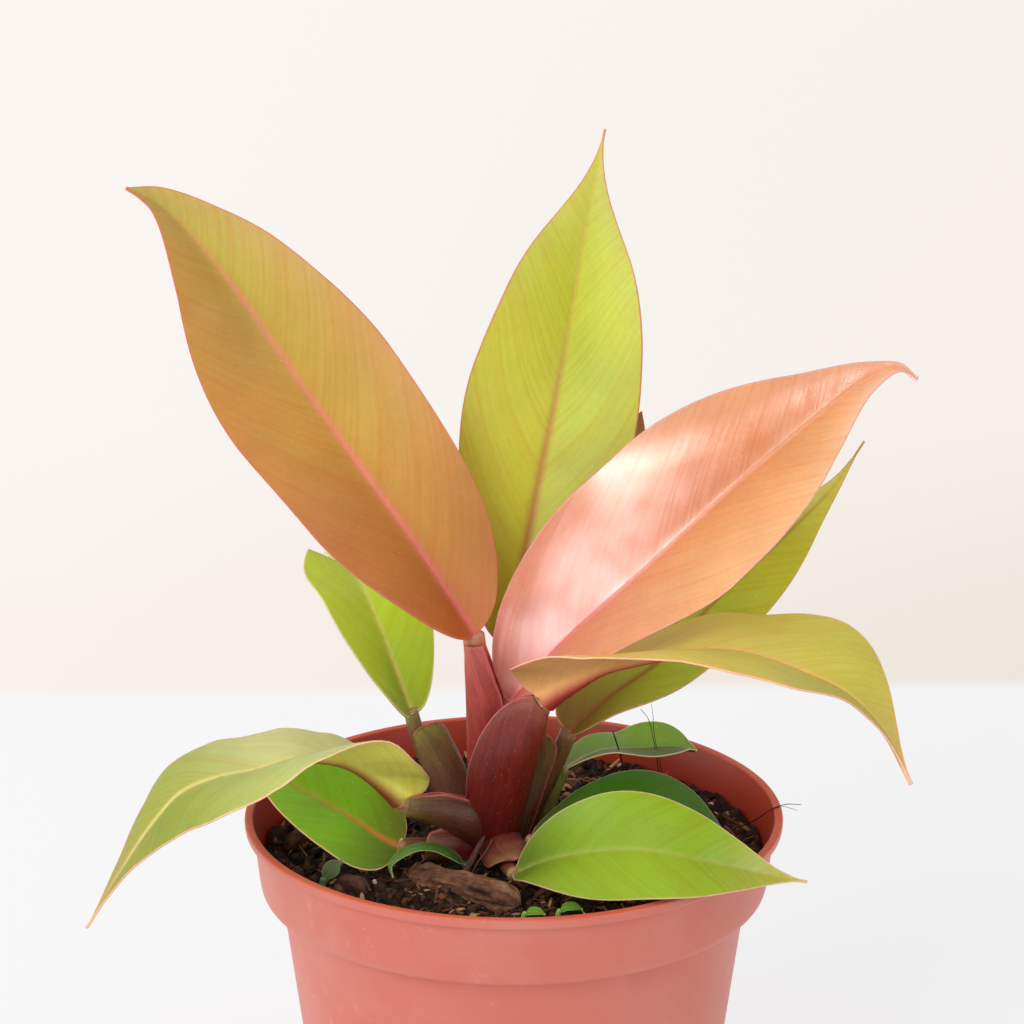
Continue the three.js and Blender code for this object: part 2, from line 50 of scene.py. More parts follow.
# ---------------------------------------------------------------- sizes shared with the solids
POT_HEIGHT = 100
POT_WALL = 1.5
BASE_RADIUS = 41
WALL_TOP_RADIUS = 52
SHOULDER_Z = 83
COLLAR_LOW_RADIUS = 56.3
CREASE_RADIUS = 56.9
CREASE_Z = 87.2
COLLAR_HIGH_RADIUS = 58
LIP_RADIUS = 60
LIP_DEPTH = 2.4
DRAIN_COUNT = 6
DRAIN_RADIUS = 4
DRAIN_CIRCLE = 27
SOIL_LEVEL = 92
SOIL_LUMP = 0.8
SOIL_RADIUS = 55.1
BLADE_CUP = (-18, -18, -10)
WIDEST_AT = 0.42

STEM = [[-5, -2, 78, 5, 5], [-5, -2, 90, 5.6, 5.4], [-5, -2, 97, 4.8, 4.4], [-5, -1.5, 102, 2.4, 2.2]]

# Each leaf: the rib and outline as in the solids, then its colours from base to tip as red, green
# and blue from 0 to 255. left and right are the halves of the upper face, seen from the front, with
# left_outer and right_outer for their margins where these differ. Besides the leaf's own colour, the
# halves hold painted shade: a folded half that the light falls on less is painted darker.
SEEDLING = dict(
    turn=(-60, -60, -60), fold=(15, 15, 10), widest=0.5, shoulder=0.9, hip=0.8, lobe=0,
    slot="leaf_green", gloss=0.4, left=[(92, 150, 46), (104, 168, 48), (108, 170, 50)],
    rib_colours=[(150, 186, 90), (130, 180, 74)], edge=(150, 190, 90),
    under=[(120, 160, 80), (124, 166, 84)], under_rib=[(150, 180, 100), (140, 180, 94)])
LEAVES = {
    "front_right_arching": dict(
        rib=[[7.2, -12, 131.7], [13, -15.4, 136.6], [19.5, -17.6, 141], [28, -19, 143.5],
             [40.5, -21, 146.5], [50.5, -22, 146], [62.5, -23, 142], [71.5, -25, 138],
             [79.5, -28, 130.5], [85.5, -32, 119.5]],
        turn=(-123, -88, -73, -63, -59), fold=(54, 19, 13, 27, 22), width=47.5,
        widest=0.58, shoulder=0.72, hip=0.5, lobe=0.13, slot="leaf_yellow_green", gloss=0.36,
        left=[(208, 178, 104), (196, 184, 94), (184, 178, 82), (170, 166, 70), (184, 156, 100)],
        right=[(210, 184, 108), (194, 186, 96), (182, 174, 84), (168, 162, 70), (184, 156, 100)],
        rib_colours=[(196, 90, 76), (204, 162, 98), (198, 182, 96)], edge=(228, 172, 160),
        under=[(214, 166, 110), (212, 166, 104), (196, 172, 104)],
        under_rib=[(150, 48, 50), (184, 90, 72)]),
    "front_left_arching": dict(
        rib=[[-24.9, -12, 108.6], [-30, -15, 114.2], [-34, -18, 118.2], [-38.5, -21, 121],
             [-47, -24.5, 122.8], [-56, -27, 121], [-64, -29, 120], [-71.5, -30, 117], [-78, -31, 110],
             [-85, -32, 99.5], [-93, -32, 86]],
        turn=(118, 94, 72, 62, 62, 50), fold=(50, 28, 12, 5, 4, 5), width=39,
        widest=0.41, shoulder=0.48, hip=0.54, lobe=0.11, slot="leaf_yellow_green", gloss=0.36,
        left=[(170, 178, 76), (172, 186, 110), (130, 146, 54), (160, 144, 86)],
        right=[(176, 182, 90), (182, 188, 132), (144, 156, 68), (164, 148, 90)],
        rib_colours=[(176, 136, 84), (200, 194, 126), (200, 186, 116)], edge=(224, 182, 160),
        # under: partly the underside's own pale colour and partly painted light, brighter for a face that
        # the lamps barely reach.
        under=[(230, 234, 116), (226, 228, 114), (206, 202, 112)],
        under_rib=[(140, 66, 48), (160, 112, 66)]),
    "tall_left": dict(
        rib=[[-8.5, -2, 142.5], [-21, 2, 161.5], [-41.5, 6, 190.5], [-64, 10, 223], [-76, 12, 236],
             [-83, 10, 240.5]],
        turn=(44, 12, 2, 46), fold=(27, 30, 23, 22), width=42,
        widest=0.5, shoulder=0.77, hip=0.97, lobe=0, slot="leaf_bronze", gloss=0.42,
        left=[(182, 102, 50), (190, 126, 60), (198, 154, 70), (184, 148, 64), (190, 164, 94)],
        left_outer=[(178, 100, 52), (190, 122, 68), (204, 142, 78), (196, 150, 70), (196, 160, 92)],
        right=[(202, 120, 66), (204, 154, 76), (202, 170, 76), (198, 182, 76), (190, 174, 92)],
        right_outer=[(206, 142, 86), (198, 142, 82), (212, 164, 104), (210, 174, 110), (202, 176, 98)],
        rib_colours=[(216, 114, 106), (226, 140, 116), (220, 152, 110), (206, 164, 94)],
        edge=(214, 120, 100), under=[(176, 98, 62), (178, 110, 66), (176, 130, 70)],
        under_rib=[(176, 60, 60), (190, 100, 80)]),
    "orange_right": dict(
        rib=[[-0.8, 4, 123.9], [9.5, 3.8, 137.5], [28.5, 2.5, 156.5], [48, 2.5, 175.5],
             [64.5, 3.5, 190], [76.5, 3.5, 199.5], [83.5, 3.5, 202], [87.5, 3.5, 199.5]],
        turn=(-34, -23, -12, -10, -15), fold=(52, 53, 52, 46, 44), width=52.5,
        widest=0.49, shoulder=0.4, hip=0.74, lobe=0, slot="leaf_orange", gloss=0.19,
        left=[(230, 136, 124), (236, 156, 134), (232, 154, 116), (232, 160, 118), (236, 172, 138)],
        left_outer=[(228, 140, 128), (230, 150, 132), (232, 166, 134), (234, 172, 134), (236, 170, 140)],
        right=[(232, 156, 146), (236, 176, 142), (230, 174, 122), (230, 174, 122), (238, 182, 150)],
        right_outer=[(228, 156, 138), (232, 168, 134), (240, 186, 138), (242, 190, 150), (242, 204, 190)],
        # rib_colours: the pale middle step is partly the rib's own pink and partly a painted highlight
        # along its groove.
        rib_colours=[(232, 124, 124), (248, 186, 180), (240, 176, 142), (235, 166, 116)],
        edge=(238, 176, 172), under=[(214, 112, 84), (220, 128, 90), (218, 130, 92)],
        under_rib=[(206, 70, 76), (220, 104, 92)]),
    "tall_centre": dict(
        rib=[[-1, 8, 137.5], [4, 18, 163], [11.5, 26, 200.5], [15.5, 30, 224.5], [20, 34, 247.5]],
        turn=(0, -6, -1, -1), fold=(24, 19, 50, 11), width=43,
        widest=0.6, shoulder=0.37, hip=0.5, lobe=0.05, slot="leaf_yellow_green", gloss=0.42,
        left=[(186, 192, 54), (208, 218, 72), (214, 220, 86), (206, 214, 80), (208, 208, 92)],
        left_outer=[(176, 178, 56), (200, 202, 68), (210, 214, 86), (202, 206, 84), (208, 202, 94)],
        right=[(184, 182, 76), (194, 208, 94), (198, 216, 96), (202, 218, 92), (208, 206, 106)],
        right_outer=[(186, 192, 92), (192, 204, 100), (194, 206, 90), (198, 206, 96), (206, 196, 114)],
        rib_colours=[(176, 120, 66), (196, 160, 88), (206, 194, 84), (212, 204, 80)],
        edge=(214, 140, 110), under=[(172, 156, 66), (182, 174, 76), (184, 180, 80)],
        under_rib=[(170, 84, 60), (186, 136, 76)]),
    "green_right": dict(
        rib=[[12.3, 8, 116], [21.8, 11, 123.5], [32.5, 14, 130.5], [45.5, 19, 143.5], [62.5, 24, 158.5],
             [72, 28, 167.5], [78.5, 30, 177]],
        turn=(-42, -12, 2), fold=(48, 30, 23), width=24,
        widest=0.47, shoulder=1, hip=0.53, lobe=0.04, slot="leaf_olive", gloss=0.36,
        left=[(118, 92, 42), (146, 164, 52), (162, 168, 44), (191, 185, 94)],
        right=[(116, 88, 40), (144, 162, 50), (158, 164, 44), (186, 180, 88)],
        rib_colours=[(124, 80, 44), (134, 116, 48), (160, 150, 60)], edge=(186, 148, 104),
        under=[(128, 126, 50), (134, 138, 54), (140, 142, 58)],
        under_rib=[(130, 60, 40), (140, 100, 50)]),
    "green_left": dict(
        rib=[[-23, 14, 118.6], [-26.5, 15, 128.5], [-29.5, 17, 136.5], [-32.5, 21, 142.5],
             [-35, 28, 145], [-36, 38, 144.5], [-39.5, 50, 142.5], [-44.5, 62, 140]],
        turn=(40, 30, 26, 23), fold=(41, 27, 18, 10), width=27,
        widest=0.44, shoulder=0.3, hip=0.71, lobe=0.08, slot="leaf_green", gloss=0.36,
        left=[(128, 154, 38), (160, 184, 48), (168, 188, 66), (196, 196, 150)],
        right=[(140, 168, 42), (160, 190, 46), (168, 186, 78), (186, 192, 126)],
        rib_colours=[(176, 176, 86), (176, 190, 86), (178, 188, 104)], edge=(204, 200, 150),
        under=[(148, 164, 80), (170, 178, 110), (185, 185, 138)],
        under_rib=[(170, 150, 90), (166, 166, 90)]),
    "low_left": dict(
        rib=[[-25, -14, 97.5], [-29.5, -13, 99.5], [-35.5, -11, 103], [-45, -7, 107], [-55, -3, 111],
             [-66.5, 1, 113.5]],
        turn=(47, 47, 46), fold=(4, 18, 20), width=26,
        widest=0.31, shoulder=0.88, hip=0.68, lobe=0.02, slot="leaf_green", gloss=0.34,
        left=[(76, 100, 34), (112, 162, 46), (120, 170, 48), (134, 174, 48)],
        right=[(94, 108, 34), (110, 158, 34), (110, 156, 34), (126, 168, 46)],
        rib_colours=[(170, 110, 56), (150, 140, 56), (124, 156, 54)], edge=(226, 184, 156),
        under=[(116, 140, 62), (122, 150, 66), (124, 150, 68)],
        under_rib=[(150, 100, 60), (130, 140, 66)]),
    "low_right_front": dict(
        rib=[[0, -22, 94.5], [6.5, -28, 100], [15, -34, 104.5], [24.5, -39.5, 107.5],
             [34.5, -42.5, 107.5], [45.5, -41.5, 104.5], [54.5, -39.5, 101.5], [63, -38, 99.5]],
        turn=(-56, -29, -24), fold=(38, 15, 25), width=26.5,
        widest=0.42, shoulder=0.24, hip=0.76, lobe=0, slot="leaf_green", gloss=0.34,
        left=[(104, 134, 44), (138, 180, 40), (146, 184, 38), (190, 190, 90)],
        right=[(106, 134, 44), (148, 184, 44), (156, 190, 50), (192, 190, 92)],
        rib_colours=[(150, 170, 80), (162, 188, 70), (176, 190, 84)], edge=(230, 198, 170),
        under=[(130, 156, 66), (138, 164, 68), (144, 164, 72)],
        under_rib=[(150, 150, 80), (150, 166, 80)]),
    "low_right_back": dict(
        rib=[[4, -11, 98], [8.5, -10, 100.5], [17, -9, 104.5], [28, -8, 106.5], [38, -8, 104],
             [45, -9, 99], [50.5, -12, 94]],
        turn=(-62, -58, -62), fold=(6, 10, 4), width=21,
        widest=0.5, shoulder=0.5, hip=0.7, lobe=0, slot="leaf_green", gloss=0.34,
        left=[(86, 108, 56), (62, 122, 20), (68, 124, 24), (86, 126, 36)],
        right=[(92, 108, 60), (86, 122, 38), (88, 122, 40), (92, 124, 42)],
        rib_colours=[(140, 146, 90), (98, 134, 52), (98, 134, 52)], edge=(200, 206, 164),
        under=[(96, 124, 62), (100, 130, 64), (100, 130, 64)],
        under_rib=[(150, 150, 110), (120, 140, 80)]),
    "back_right": dict(
        rib=[[11, 9, 106.5], [15, 12, 108], [20, 15, 109], [28.5, 20, 107.5], [36, 26, 105.5],
             [42, 31, 102.5]],
        turn=(-75, -75, -56), fold=(20, 12, 45), width=19,
        widest=0.6, shoulder=0.65, hip=0.95, lobe=0, slot="leaf_green", gloss=0.34,
        left=[(99, 106, 67), (102, 138, 45), (106, 144, 46), (108, 140, 50)],
        right=[(90, 100, 64), (96, 104, 62), (82, 92, 52), (84, 106, 54)],
        rib_colours=[(150, 160, 100), (116, 150, 66), (112, 148, 60)], edge=(208, 198, 156),
        # under: painted shade, darker than the underside's own colour, for a face turned from the light.
        under=[(52, 48, 30), (60, 60, 36), (68, 74, 44)],
        under_rib=[(140, 150, 80), (120, 140, 76)]),
    "dry_tipped_back": dict(
        rib=[[3.5, 17, 122.5], [7.5, 20, 132], [11.5, 24, 141.5], [16, 28, 153], [20.5, 32, 162.5],
             [25, 35, 172], [28.8, 38, 181.5]],
        turn=(-20, -12, -2), fold=(40, 32, 19), width=24.5,
        widest=0.5, shoulder=0.6, hip=0.98, lobe=0, slot="leaf_olive", gloss=0.4,
        left=[(126, 124, 44), (134, 138, 46), (140, 134, 52), (122, 84, 56)],
        right=[(126, 124, 44), (134, 138, 46), (140, 134, 52), (128, 90, 60)],
        rib_colours=[(140, 84, 50), (150, 124, 60), (120, 76, 44)], edge=(150, 92, 60),
        under=[(130, 128, 60), (136, 138, 64), (120, 92, 56)], under_rib=[(140, 76, 50), (140, 110, 60)]),
    "curled_front": dict(
        rib=[[-11, -16, 94.5], [-14, -17.5, 97.3], [-17.5, -18.5, 99.3], [-21, -19.5, 99.8],
             [-24.5, -21, 98.8], [-27, -23, 96.8], [-26.5, -24.5, 94.4]],
        turn=(60, 70, 60), fold=(10, 0, 0), width=4.6,
        widest=0.6, shoulder=0.8, hip=0.9, lobe=0, slot="leaf_green", gloss=0.36,
        left=[(60, 100, 44), (84, 132, 60), (104, 156, 76), (120, 170, 90)],
        right=[(50, 90, 40), (70, 116, 54), (94, 146, 70), (118, 168, 90)],
        rib_colours=[(70, 110, 50), (100, 150, 76), (116, 164, 88)], edge=(170, 200, 140),
        under=[(70, 110, 60), (84, 130, 66), (90, 140, 70)], under_rib=[(90, 120, 70), (96, 140, 76)]),
    "small_left": dict(
        rib=[[-41.2, -25, 94.6], [-40.2, -25, 96], [-39, -24.8, 97.4], [-37.4, -24.4, 98.6]],
        turn=(10, 10, 10), fold=(10, 10, 10), width=3.6,
        widest=0.5, shoulder=0.7, hip=0.8, lobe=0, slot="leaf_green", gloss=0.42,
        left=[(84, 112, 76), (96, 128, 88), (100, 132, 92)],
        right=[(84, 112, 76), (92, 124, 86), (100, 132, 92)],
        rib_colours=[(110, 134, 96), (110, 138, 100)], edge=(150, 170, 140),
        under=[(100, 126, 90), (104, 130, 94)], under_rib=[(110, 130, 96), (110, 134, 100)]),
    "seedling_left": dict(
        SEEDLING, width=3,
        rib=[[2.6, -43.4, 94.6], [3.8, -44, 95.2], [5.2, -44.6, 95.3], [6.8, -45.2, 95]]),
    "seedling_right": dict(
        SEEDLING, width=3.2,
        rib=[[10, -42.8, 95], [11.4, -43.2, 95.9], [13, -43.6, 96], [14.8, -44, 95.6]]),
}

# Each stalk is made of solid rods and of open sheaths, both through oval sections written as
# x, y, z, half width, half depth from the joint down. arc: where the sheath's wall runs from and to
# at equal steps down it; 0 is at the right, 90 towards the viewer, 180 at the left.
STALKS = {
    "tall_left": dict(
        slot="stalk_red", colours=[(204, 104, 96), (186, 78, 76), (158, 56, 54), (112, 34, 28)],
        parts=[
            dict(kind="rod", band=3.2, sections=[
                [-8.9, -1, 142.9, 2.4, 2], [-8.5, -0.8, 139, 2.5, 2.1], [-7.6, -0.3, 131, 2.6, 2.2],
                [-7, 0, 118, 3, 2.4], [-6, 0.5, 96, 3.4, 2.6]]),
            dict(kind="sheath", round_top=0, wall=1, sections=[
                [-8.4, -2, 140.6, 2.5, 2.2], [-7.6, -1.6, 135, 3.3, 2.6], [-6.3, -1, 127, 4.4, 3],
                [-5.6, 0, 114.5, 4.9, 3.4], [-5, 0.5, 102.5, 5.1, 3.8], [-5, 0, 92, 4.8, 3.8]],
                arc=[(52, 318), (44, 330), (30, 338), (20, 345), (10, 350)]),
        ]),
    "front_right_arching": dict(
        slot="stalk_red", colours=[(150, 70, 50), (126, 38, 28), (112, 26, 20), (82, 15, 12)],
        parts=[
            dict(kind="rod", band=3, sections=[
                [6.8, -12, 131, 2.2, 2.1], [5.4, -12, 129.2, 2.6, 2.2], [4, -11.2, 124, 3, 2.4],
                [1, -10, 114, 3.4, 2.6], [-3, -8, 97, 3.4, 2.6]]),
            dict(kind="sheath", round_top=0, wall=1.1, sections=[
                [6, -12.2, 130.4, 2.7, 2.4], [4, -12, 128.4, 4.3, 2.7], [1.5, -11.5, 125, 5.8, 2.9],
                [-1, -11, 119.5, 6.8, 3.1], [-3, -10, 112, 7.2, 3.3], [-4, -9, 104, 6.4, 3.5],
                [-4.5, -7.5, 94, 5.2, 3.5]],
                arc=[(-150, 150), (-155, 168), (-160, 176), (-165, 180), (-170, 182)]),
        ]),
    "front_left_arching": dict(
        slot="stalk_red", colours=[(140, 122, 72), (104, 72, 42), (96, 50, 34), (84, 30, 24)],
        parts=[
            dict(kind="rod", band=3.4, sections=[
                [-24.9, -12, 107.4, 2.2, 2], [-22, -12.4, 106, 2.5, 2.2], [-16, -11, 103.6, 2.8, 2.6],
                [-10.5, -9, 100.6, 3.2, 3], [-6.5, -6.5, 96.5, 3.4, 3.4]]),
            dict(kind="sheath", round_top=0, wall=1, sections=[
                [-23, -12.3, 106.8, 2.7, 2.5], [-20, -12.3, 106.2, 3.2, 2.9], [-16, -11, 105, 4, 3.6],
                [-10.5, -9, 102, 4.6, 4], [-6.5, -6.5, 97.5, 4.6, 4]],
                arc=[(50, 310), (38, 322), (32, 328), (28, 332), (24, 336)]),
        ]),
    "orange_right": dict(
        slot="stalk_red", colours=[(200, 84, 76), (180, 56, 54), (150, 40, 40), (110, 28, 28)],
        parts=[
            dict(kind="rod", band=2, sections=[
                [-0.6, 3.5, 124.6, 2, 1.8], [-1.5, 3, 119, 2.4, 1.9], [-2.5, 2, 108, 3, 2.2],
                [-3.5, 1, 97, 3, 2.2]]),
        ]),
    "tall_centre": dict(
        slot="stalk_red", colours=[(190, 110, 84), (176, 72, 62), (150, 50, 46), (110, 32, 30)],
        parts=[
            dict(kind="rod", band=3, sections=[
                [-0.8, 8.2, 138.4, 2.1, 2], [-1.6, 7.8, 130, 2.5, 2.2], [-3, 6.8, 116, 3, 2.4],
                [-4.2, 5.4, 100, 3.4, 2.8], [-5, 3, 90, 3.6, 3]]),
            dict(kind="sheath", round_top=0, wall=0.9, sections=[
                [-1.2, 8, 134, 2.6, 2.4], [-2.2, 7.3, 124, 3.2, 2.8], [-3.5, 6.4, 112, 3.7, 3],
                [-4.5, 5, 97, 4.2, 3.2], [-5, 3, 90, 4.2, 3.2]],
                arc=[(110, 420), (100, 430), (94, 434), (90, 438)]),
        ]),
    "green_right": dict(
        slot="stalk_red", colours=[(150, 124, 76), (128, 92, 46), (104, 64, 36), (80, 36, 24)],
        parts=[
            dict(kind="rod", band=2.6, sections=[
                [12.6, 8.2, 116.6, 1.9, 1.8], [11.2, 8, 113, 2, 1.9], [9, 7.6, 108, 2.1, 2],
                [6, 6.4, 102.4, 2.3, 2.2], [2.6, 4, 96, 2.6, 2.4], [-1, 1, 89, 2.8, 2.6]]),
            dict(kind="sheath", round_top=0.3, wall=0.8, sections=[
                [8.2, 5.4, 116.6, 2.4, 1.8], [7, 5.4, 112.6, 2.8, 2], [4.6, 4.6, 107, 3.2, 2.2],
                [2.2, 3, 101, 3.4, 2.4], [0, 1, 95, 3.4, 2.6], [-2, -1, 89, 3.4, 2.6]],
                arc=[(20, 200), (14, 205), (10, 210), (5, 215)]),
        ]),
    "green_left": dict(
        slot="stalk_red", colours=[(150, 150, 80), (124, 96, 56), (112, 66, 44), (92, 46, 34)],
        parts=[
            dict(kind="rod", band=2.4, sections=[
                [-23.2, 14.2, 119.2, 1.6, 1.5], [-22.4, 13.8, 115.6, 1.7, 1.6], [-20.6, 13, 110.4, 2, 1.9],
                [-17.4, 11, 104.8, 2.4, 2.2], [-12.6, 6.6, 98, 2.8, 2.4], [-8.6, 2.6, 92, 3, 2.6]]),
            dict(kind="sheath", round_top=0.34, wall=0.8, sections=[
                [-19.8, 10.2, 117.4, 3, 1.8], [-18.2, 10, 113, 3.9, 2.2], [-16.2, 9, 108, 4.5, 2.6],
                [-13.6, 6.8, 102, 4.6, 2.8], [-9.5, 3, 94, 4.4, 3.2]],
                arc=[(-20, 200), (-14, 208), (-10, 214), (-5, 218)]),
        ]),
    "low_left": dict(
        slot="stalk_red", colours=[(128, 118, 60), (120, 66, 42), (116, 44, 36), (96, 30, 26)],
        parts=[
            dict(kind="rod", band=1.6, sections=[
                [-25.4, -14, 97.4, 1.7, 1.5], [-22, -13.4, 97.4, 1.8, 1.6], [-16, -11, 95.8, 2, 1.8],
                [-9, -7, 92.4, 2.2, 2]]),
            dict(kind="sheath", round_top=0.3, wall=0.7, sections=[
                [-20.4, -12.8, 96.8, 2.8, 2.3], [-17.4, -11.8, 96.8, 3.4, 2.5], [-14, -10, 95.7, 3.9, 2.6],
                [-9, -7, 92.6, 3.9, 2.6]],
                arc=[(30, 300), (26, 310), (22, 320)]),
        ]),
    "low_right_front": dict(
        slot="stalk_red", colours=[(150, 128, 84), (132, 78, 56), (120, 54, 44), (96, 30, 28)],
        parts=[
            dict(kind="rod", band=1.4, sections=[
                [0.2, -22.6, 94.4, 1.5, 1.3], [-0.6, -20, 94.4, 1.7, 1.4], [-1.6, -16, 94.4, 2, 1.6],
                [-3, -10, 94, 2.4, 2]]),
            dict(kind="sheath", round_top=0.36, wall=0.8, sections=[
                [-0.8, -20.4, 95, 3.6, 2.2], [-1.4, -17, 95.6, 4.6, 2.6], [-2.2, -14, 96.2, 5, 2.8],
                [-3, -10, 96.6, 4.8, 2.8]],
                arc=[(0, 240), (0, 240), (0, 240)]),
        ]),
    "low_right_back": dict(
        slot="stalk_green", colours=[(178, 170, 130), (128, 120, 70), (96, 70, 44)],
        parts=[
            dict(kind="rod", band=2, sections=[
                [4.6, -11, 98.3, 1.6, 1.4], [3, -10.5, 95.5, 1.8, 1.6], [1.5, -9.5, 91.5, 2, 1.8],
                [0, -8, 88, 2, 1.8]]),
        ]),
    "back_right": dict(
        slot="stalk_green", colours=[(150, 160, 76), (136, 140, 64), (104, 84, 44)],
        parts=[
            dict(kind="rod", band=1.4, sections=[
                [11.6, 9.4, 107, 1.4, 1.3], [9.5, 8.5, 102.5, 1.5, 1.4], [8, 8, 99, 1.7, 1.6],
                [6.5, 7, 95, 1.8, 1.7], [5, 6, 90, 1.8, 1.7]]),
        ]),
    "dry_tipped_back": dict(
        slot="stalk_red", colours=[(160, 110, 70), (132, 72, 50), (100, 40, 32)],
        parts=[
            dict(kind="rod", band=2.4, sections=[
                [3.8, 17.2, 123.2, 1.7, 1.6], [2, 15.5, 116, 2, 1.8], [-0.5, 13, 108.5, 2.4, 2],
                [-2, 10.5, 101, 2.6, 2.2], [-3, 8, 89, 2.8, 2.4]]),
            dict(kind="sheath", round_top=0.2, wall=0.7, sections=[
                [1, 14.6, 114, 2.4, 2], [-0.8, 12.9, 108, 2.9, 2.4], [-2, 10.5, 101, 3.1, 2.7],
                [-3, 8, 89, 3.1, 2.7]],
                arc=[(120, 400), (110, 410), (100, 420)]),
        ]),
    "curled_front": dict(
        slot="stalk_green", colours=[(60, 96, 48), (60, 84, 40)],
        parts=[dict(kind="rod", band=0, sections=[
            [-10.9, -16, 94.6, 1, 0.9], [-10.6, -15.8, 93, 1, 0.9], [-10.4, -15.6, 90, 1, 0.9]])]),
    "small_left": dict(
        slot="stalk_green", colours=[(100, 128, 90), (110, 130, 96)],
        parts=[dict(kind="rod", band=0, sections=[
            [-41.3, -25, 94.8, 0.8, 0.7], [-41.8, -25, 92.8, 0.8, 0.7], [-42, -25, 90, 0.8, 0.7]])]),
    "seedling_left": dict(
        slot="stalk_green", colours=[(150, 190, 96), (160, 190, 110)],
        parts=[dict(kind="rod", band=0, sections=[
            [2.5, -43.4, 94.7, 0.6, 0.5], [2, -43.2, 93, 0.6, 0.5], [1.8, -43, 90, 0.6, 0.5]])]),
    "seedling_right": dict(
        slot="stalk_green", colours=[(150, 190, 96), (160, 190, 110)],
        parts=[dict(kind="rod", band=0, sections=[
            [9.9, -42.8, 95.1, 0.6, 0.5], [9.4, -42.6, 93.2, 0.6, 0.5], [9.2, -42.4, 90, 0.6, 0.5]])]),
}

SHEATH_MARGIN = (214, 112, 116)
JOINT_BAND = (206, 168, 124)

# Pieces of bark in the soil, written like the stem's sections
BARK = {
    "bark_chunk": dict(
        sections=[[-23.5, -18.5, 93, 1.4, 1.4], [-19, -21, 93.3, 2.6, 2.2], [-11, -27, 93.6, 2.9, 2.8],
                  [-3, -33, 93.6, 3.4, 3], [1.2, -36, 93.2, 2.2, 2]],
        colours=[(122, 86, 66), (158, 120, 94), (60, 38, 30)], furrow=0.95, grain=1.7),
    "bark_chip_front": dict(
        sections=[[-38.6, -22.6, 92.8, 1, 1.2], [-37, -23.6, 93, 2, 1.8], [-33.6, -26, 93, 2.2, 2],
                  [-31.6, -27.4, 92.6, 1.2, 1.2]],
        colours=[(96, 66, 56), (112, 82, 72), (60, 38, 32)], furrow=0.25, grain=1.6),
    "bark_chip_left": dict(
        sections=[[-50.5, -3.5, 92.6, 1.2, 1.2], [-48.8, -1, 93, 2.4, 1.8], [-47.4, 2.6, 93, 2.2, 1.8],
                  [-47, 5, 92.6, 1.2, 1.2]],
        colours=[(88, 50, 40), (104, 64, 52), (52, 28, 24)], furrow=0.25, grain=1.6),
    "twig": dict(
        sections=[[-6.3, -13.3, 100, 0.45, 0.45], [-9, -17.4, 96.2, 0.6, 0.6],
                  [-11.2, -20.8, 93, 0.65, 0.65], [-12.2, -22.4, 91, 0.65, 0.65]],
        colours=[(96, 62, 54), (112, 80, 70), (64, 38, 34)], furrow=0.08, grain=1.0),
}


# ---------------------------------------------------------------- small tools
def linear(colour):
    """Red, green and blue from 0 to 255 as the values that shaders use."""
    c = np.asarray(colour, float) / 255
    return np.where(c <= 0.04045, c / 12.92, ((c + 0.055) / 1.055) ** 2.4)


def rgba(colour):
    return (*linear(colour), 1.0)


def unit(v):
    return v / np.linalg.norm(v, axis=-1, keepdims=True)


def step(low, high, x):
    """Smooth step from 0 at low to 1 at high."""
    r = np.clip((x - low) / (high - low), 0, 1)
    return r * r * (3 - 2 * r)


def eased(values, s):
    """A value or colour given at equal steps from 0 to 1, eased from one step to the next."""
    table = np.asarray(values, float)
    x = np.clip(s, 0, 1) * (len(table) - 1)
    k = np.minimum(x.astype(int), len(table) - 2)
    r = x - k
    r = r * r * (3 - 2 * r)
    if table.ndim > 1:
        r = r[..., None]
    return table[k] * (1 - r) + table[k + 1] * r


def bezier(t, a, b, c, d):
    r = 1 - t
    return a * r**3 + 3 * b * t * r**2 + 3 * c * t**2 * r + d * t**3


def spline(points, per_segment):
    """Centripetal curve through points, at the same number of steps for each segment."""
    p = np.asarray(points, float)
    p = np.vstack([2 * p[0] - p[1], p, 2 * p[-1] - p[-2]])
    gaps = np.maximum(np.linalg.norm(np.diff(p, axis=0), axis=1) ** 0.5, 1e-4)
    result = []
    for i in range(1, len(p) - 2):
        d0, d1, d2 = gaps[i - 1:i + 2]
        a, b, c, d = p[i - 1:i + 3]
        m1 = ((b - a) / d0 - (c - a) / (d0 + d1) + (c - b) / d1) * d1
        m2 = ((c - b) / d1 - (d - b) / (d1 + d2) + (d - c) / d2) * d1
        t = np.linspace(0, 1, per_segment, endpoint=False)[:, None]
        if i == len(p) - 3:
            t = np.linspace(0, 1, per_segment + 1)[:, None]
        result.append(b + m1 * t + (3 * (c - b) - 2 * m1 - m2) * t**2 + (2 * (b - c) + m1 + m2) * t**3)
    return np.concatenate(result)


def arc_length(points):
    return np.r_[0, np.cumsum(np.linalg.norm(np.diff(points, axis=0), axis=1))]


def hashed(cell, seed):
    """A fixed value from -1 to 1 for each whole-number cell."""
    h = cell @ np.array([374761393, 668265263, 144665947]) + seed * 974634777
    h = h & 0xFFFFFFFF
    h = ((h ^ (h >> 13)) * 1274126177) & 0xFFFFFFFF
    return ((h ^ (h >> 16)) & 0xFFFF) / 32767.5 - 1


def noise(points, size, seed=0):
    """Smooth noise from -1 to 1 with lumps about that many millimetres across."""
    p = np.asarray(points, float) / size
    cell = np.floor(p).astype(np.int64)
    f = p - cell
    f = f * f * (3 - 2 * f)
    total = 0
    for corner in np.ndindex(2, 2, 2):
        weight = np.prod(np.where(corner, f, 1 - f), axis=-1)
        total = total + weight * hashed(cell + np.array(corner), seed)
    return total


def fractal(points, size, octaves, seed=0):
    total, amount = 0, 1.0
    for k in range(octaves):
        total = total + amount * noise(points, size / 2**k, seed + k)
        amount *= 0.5
    return total


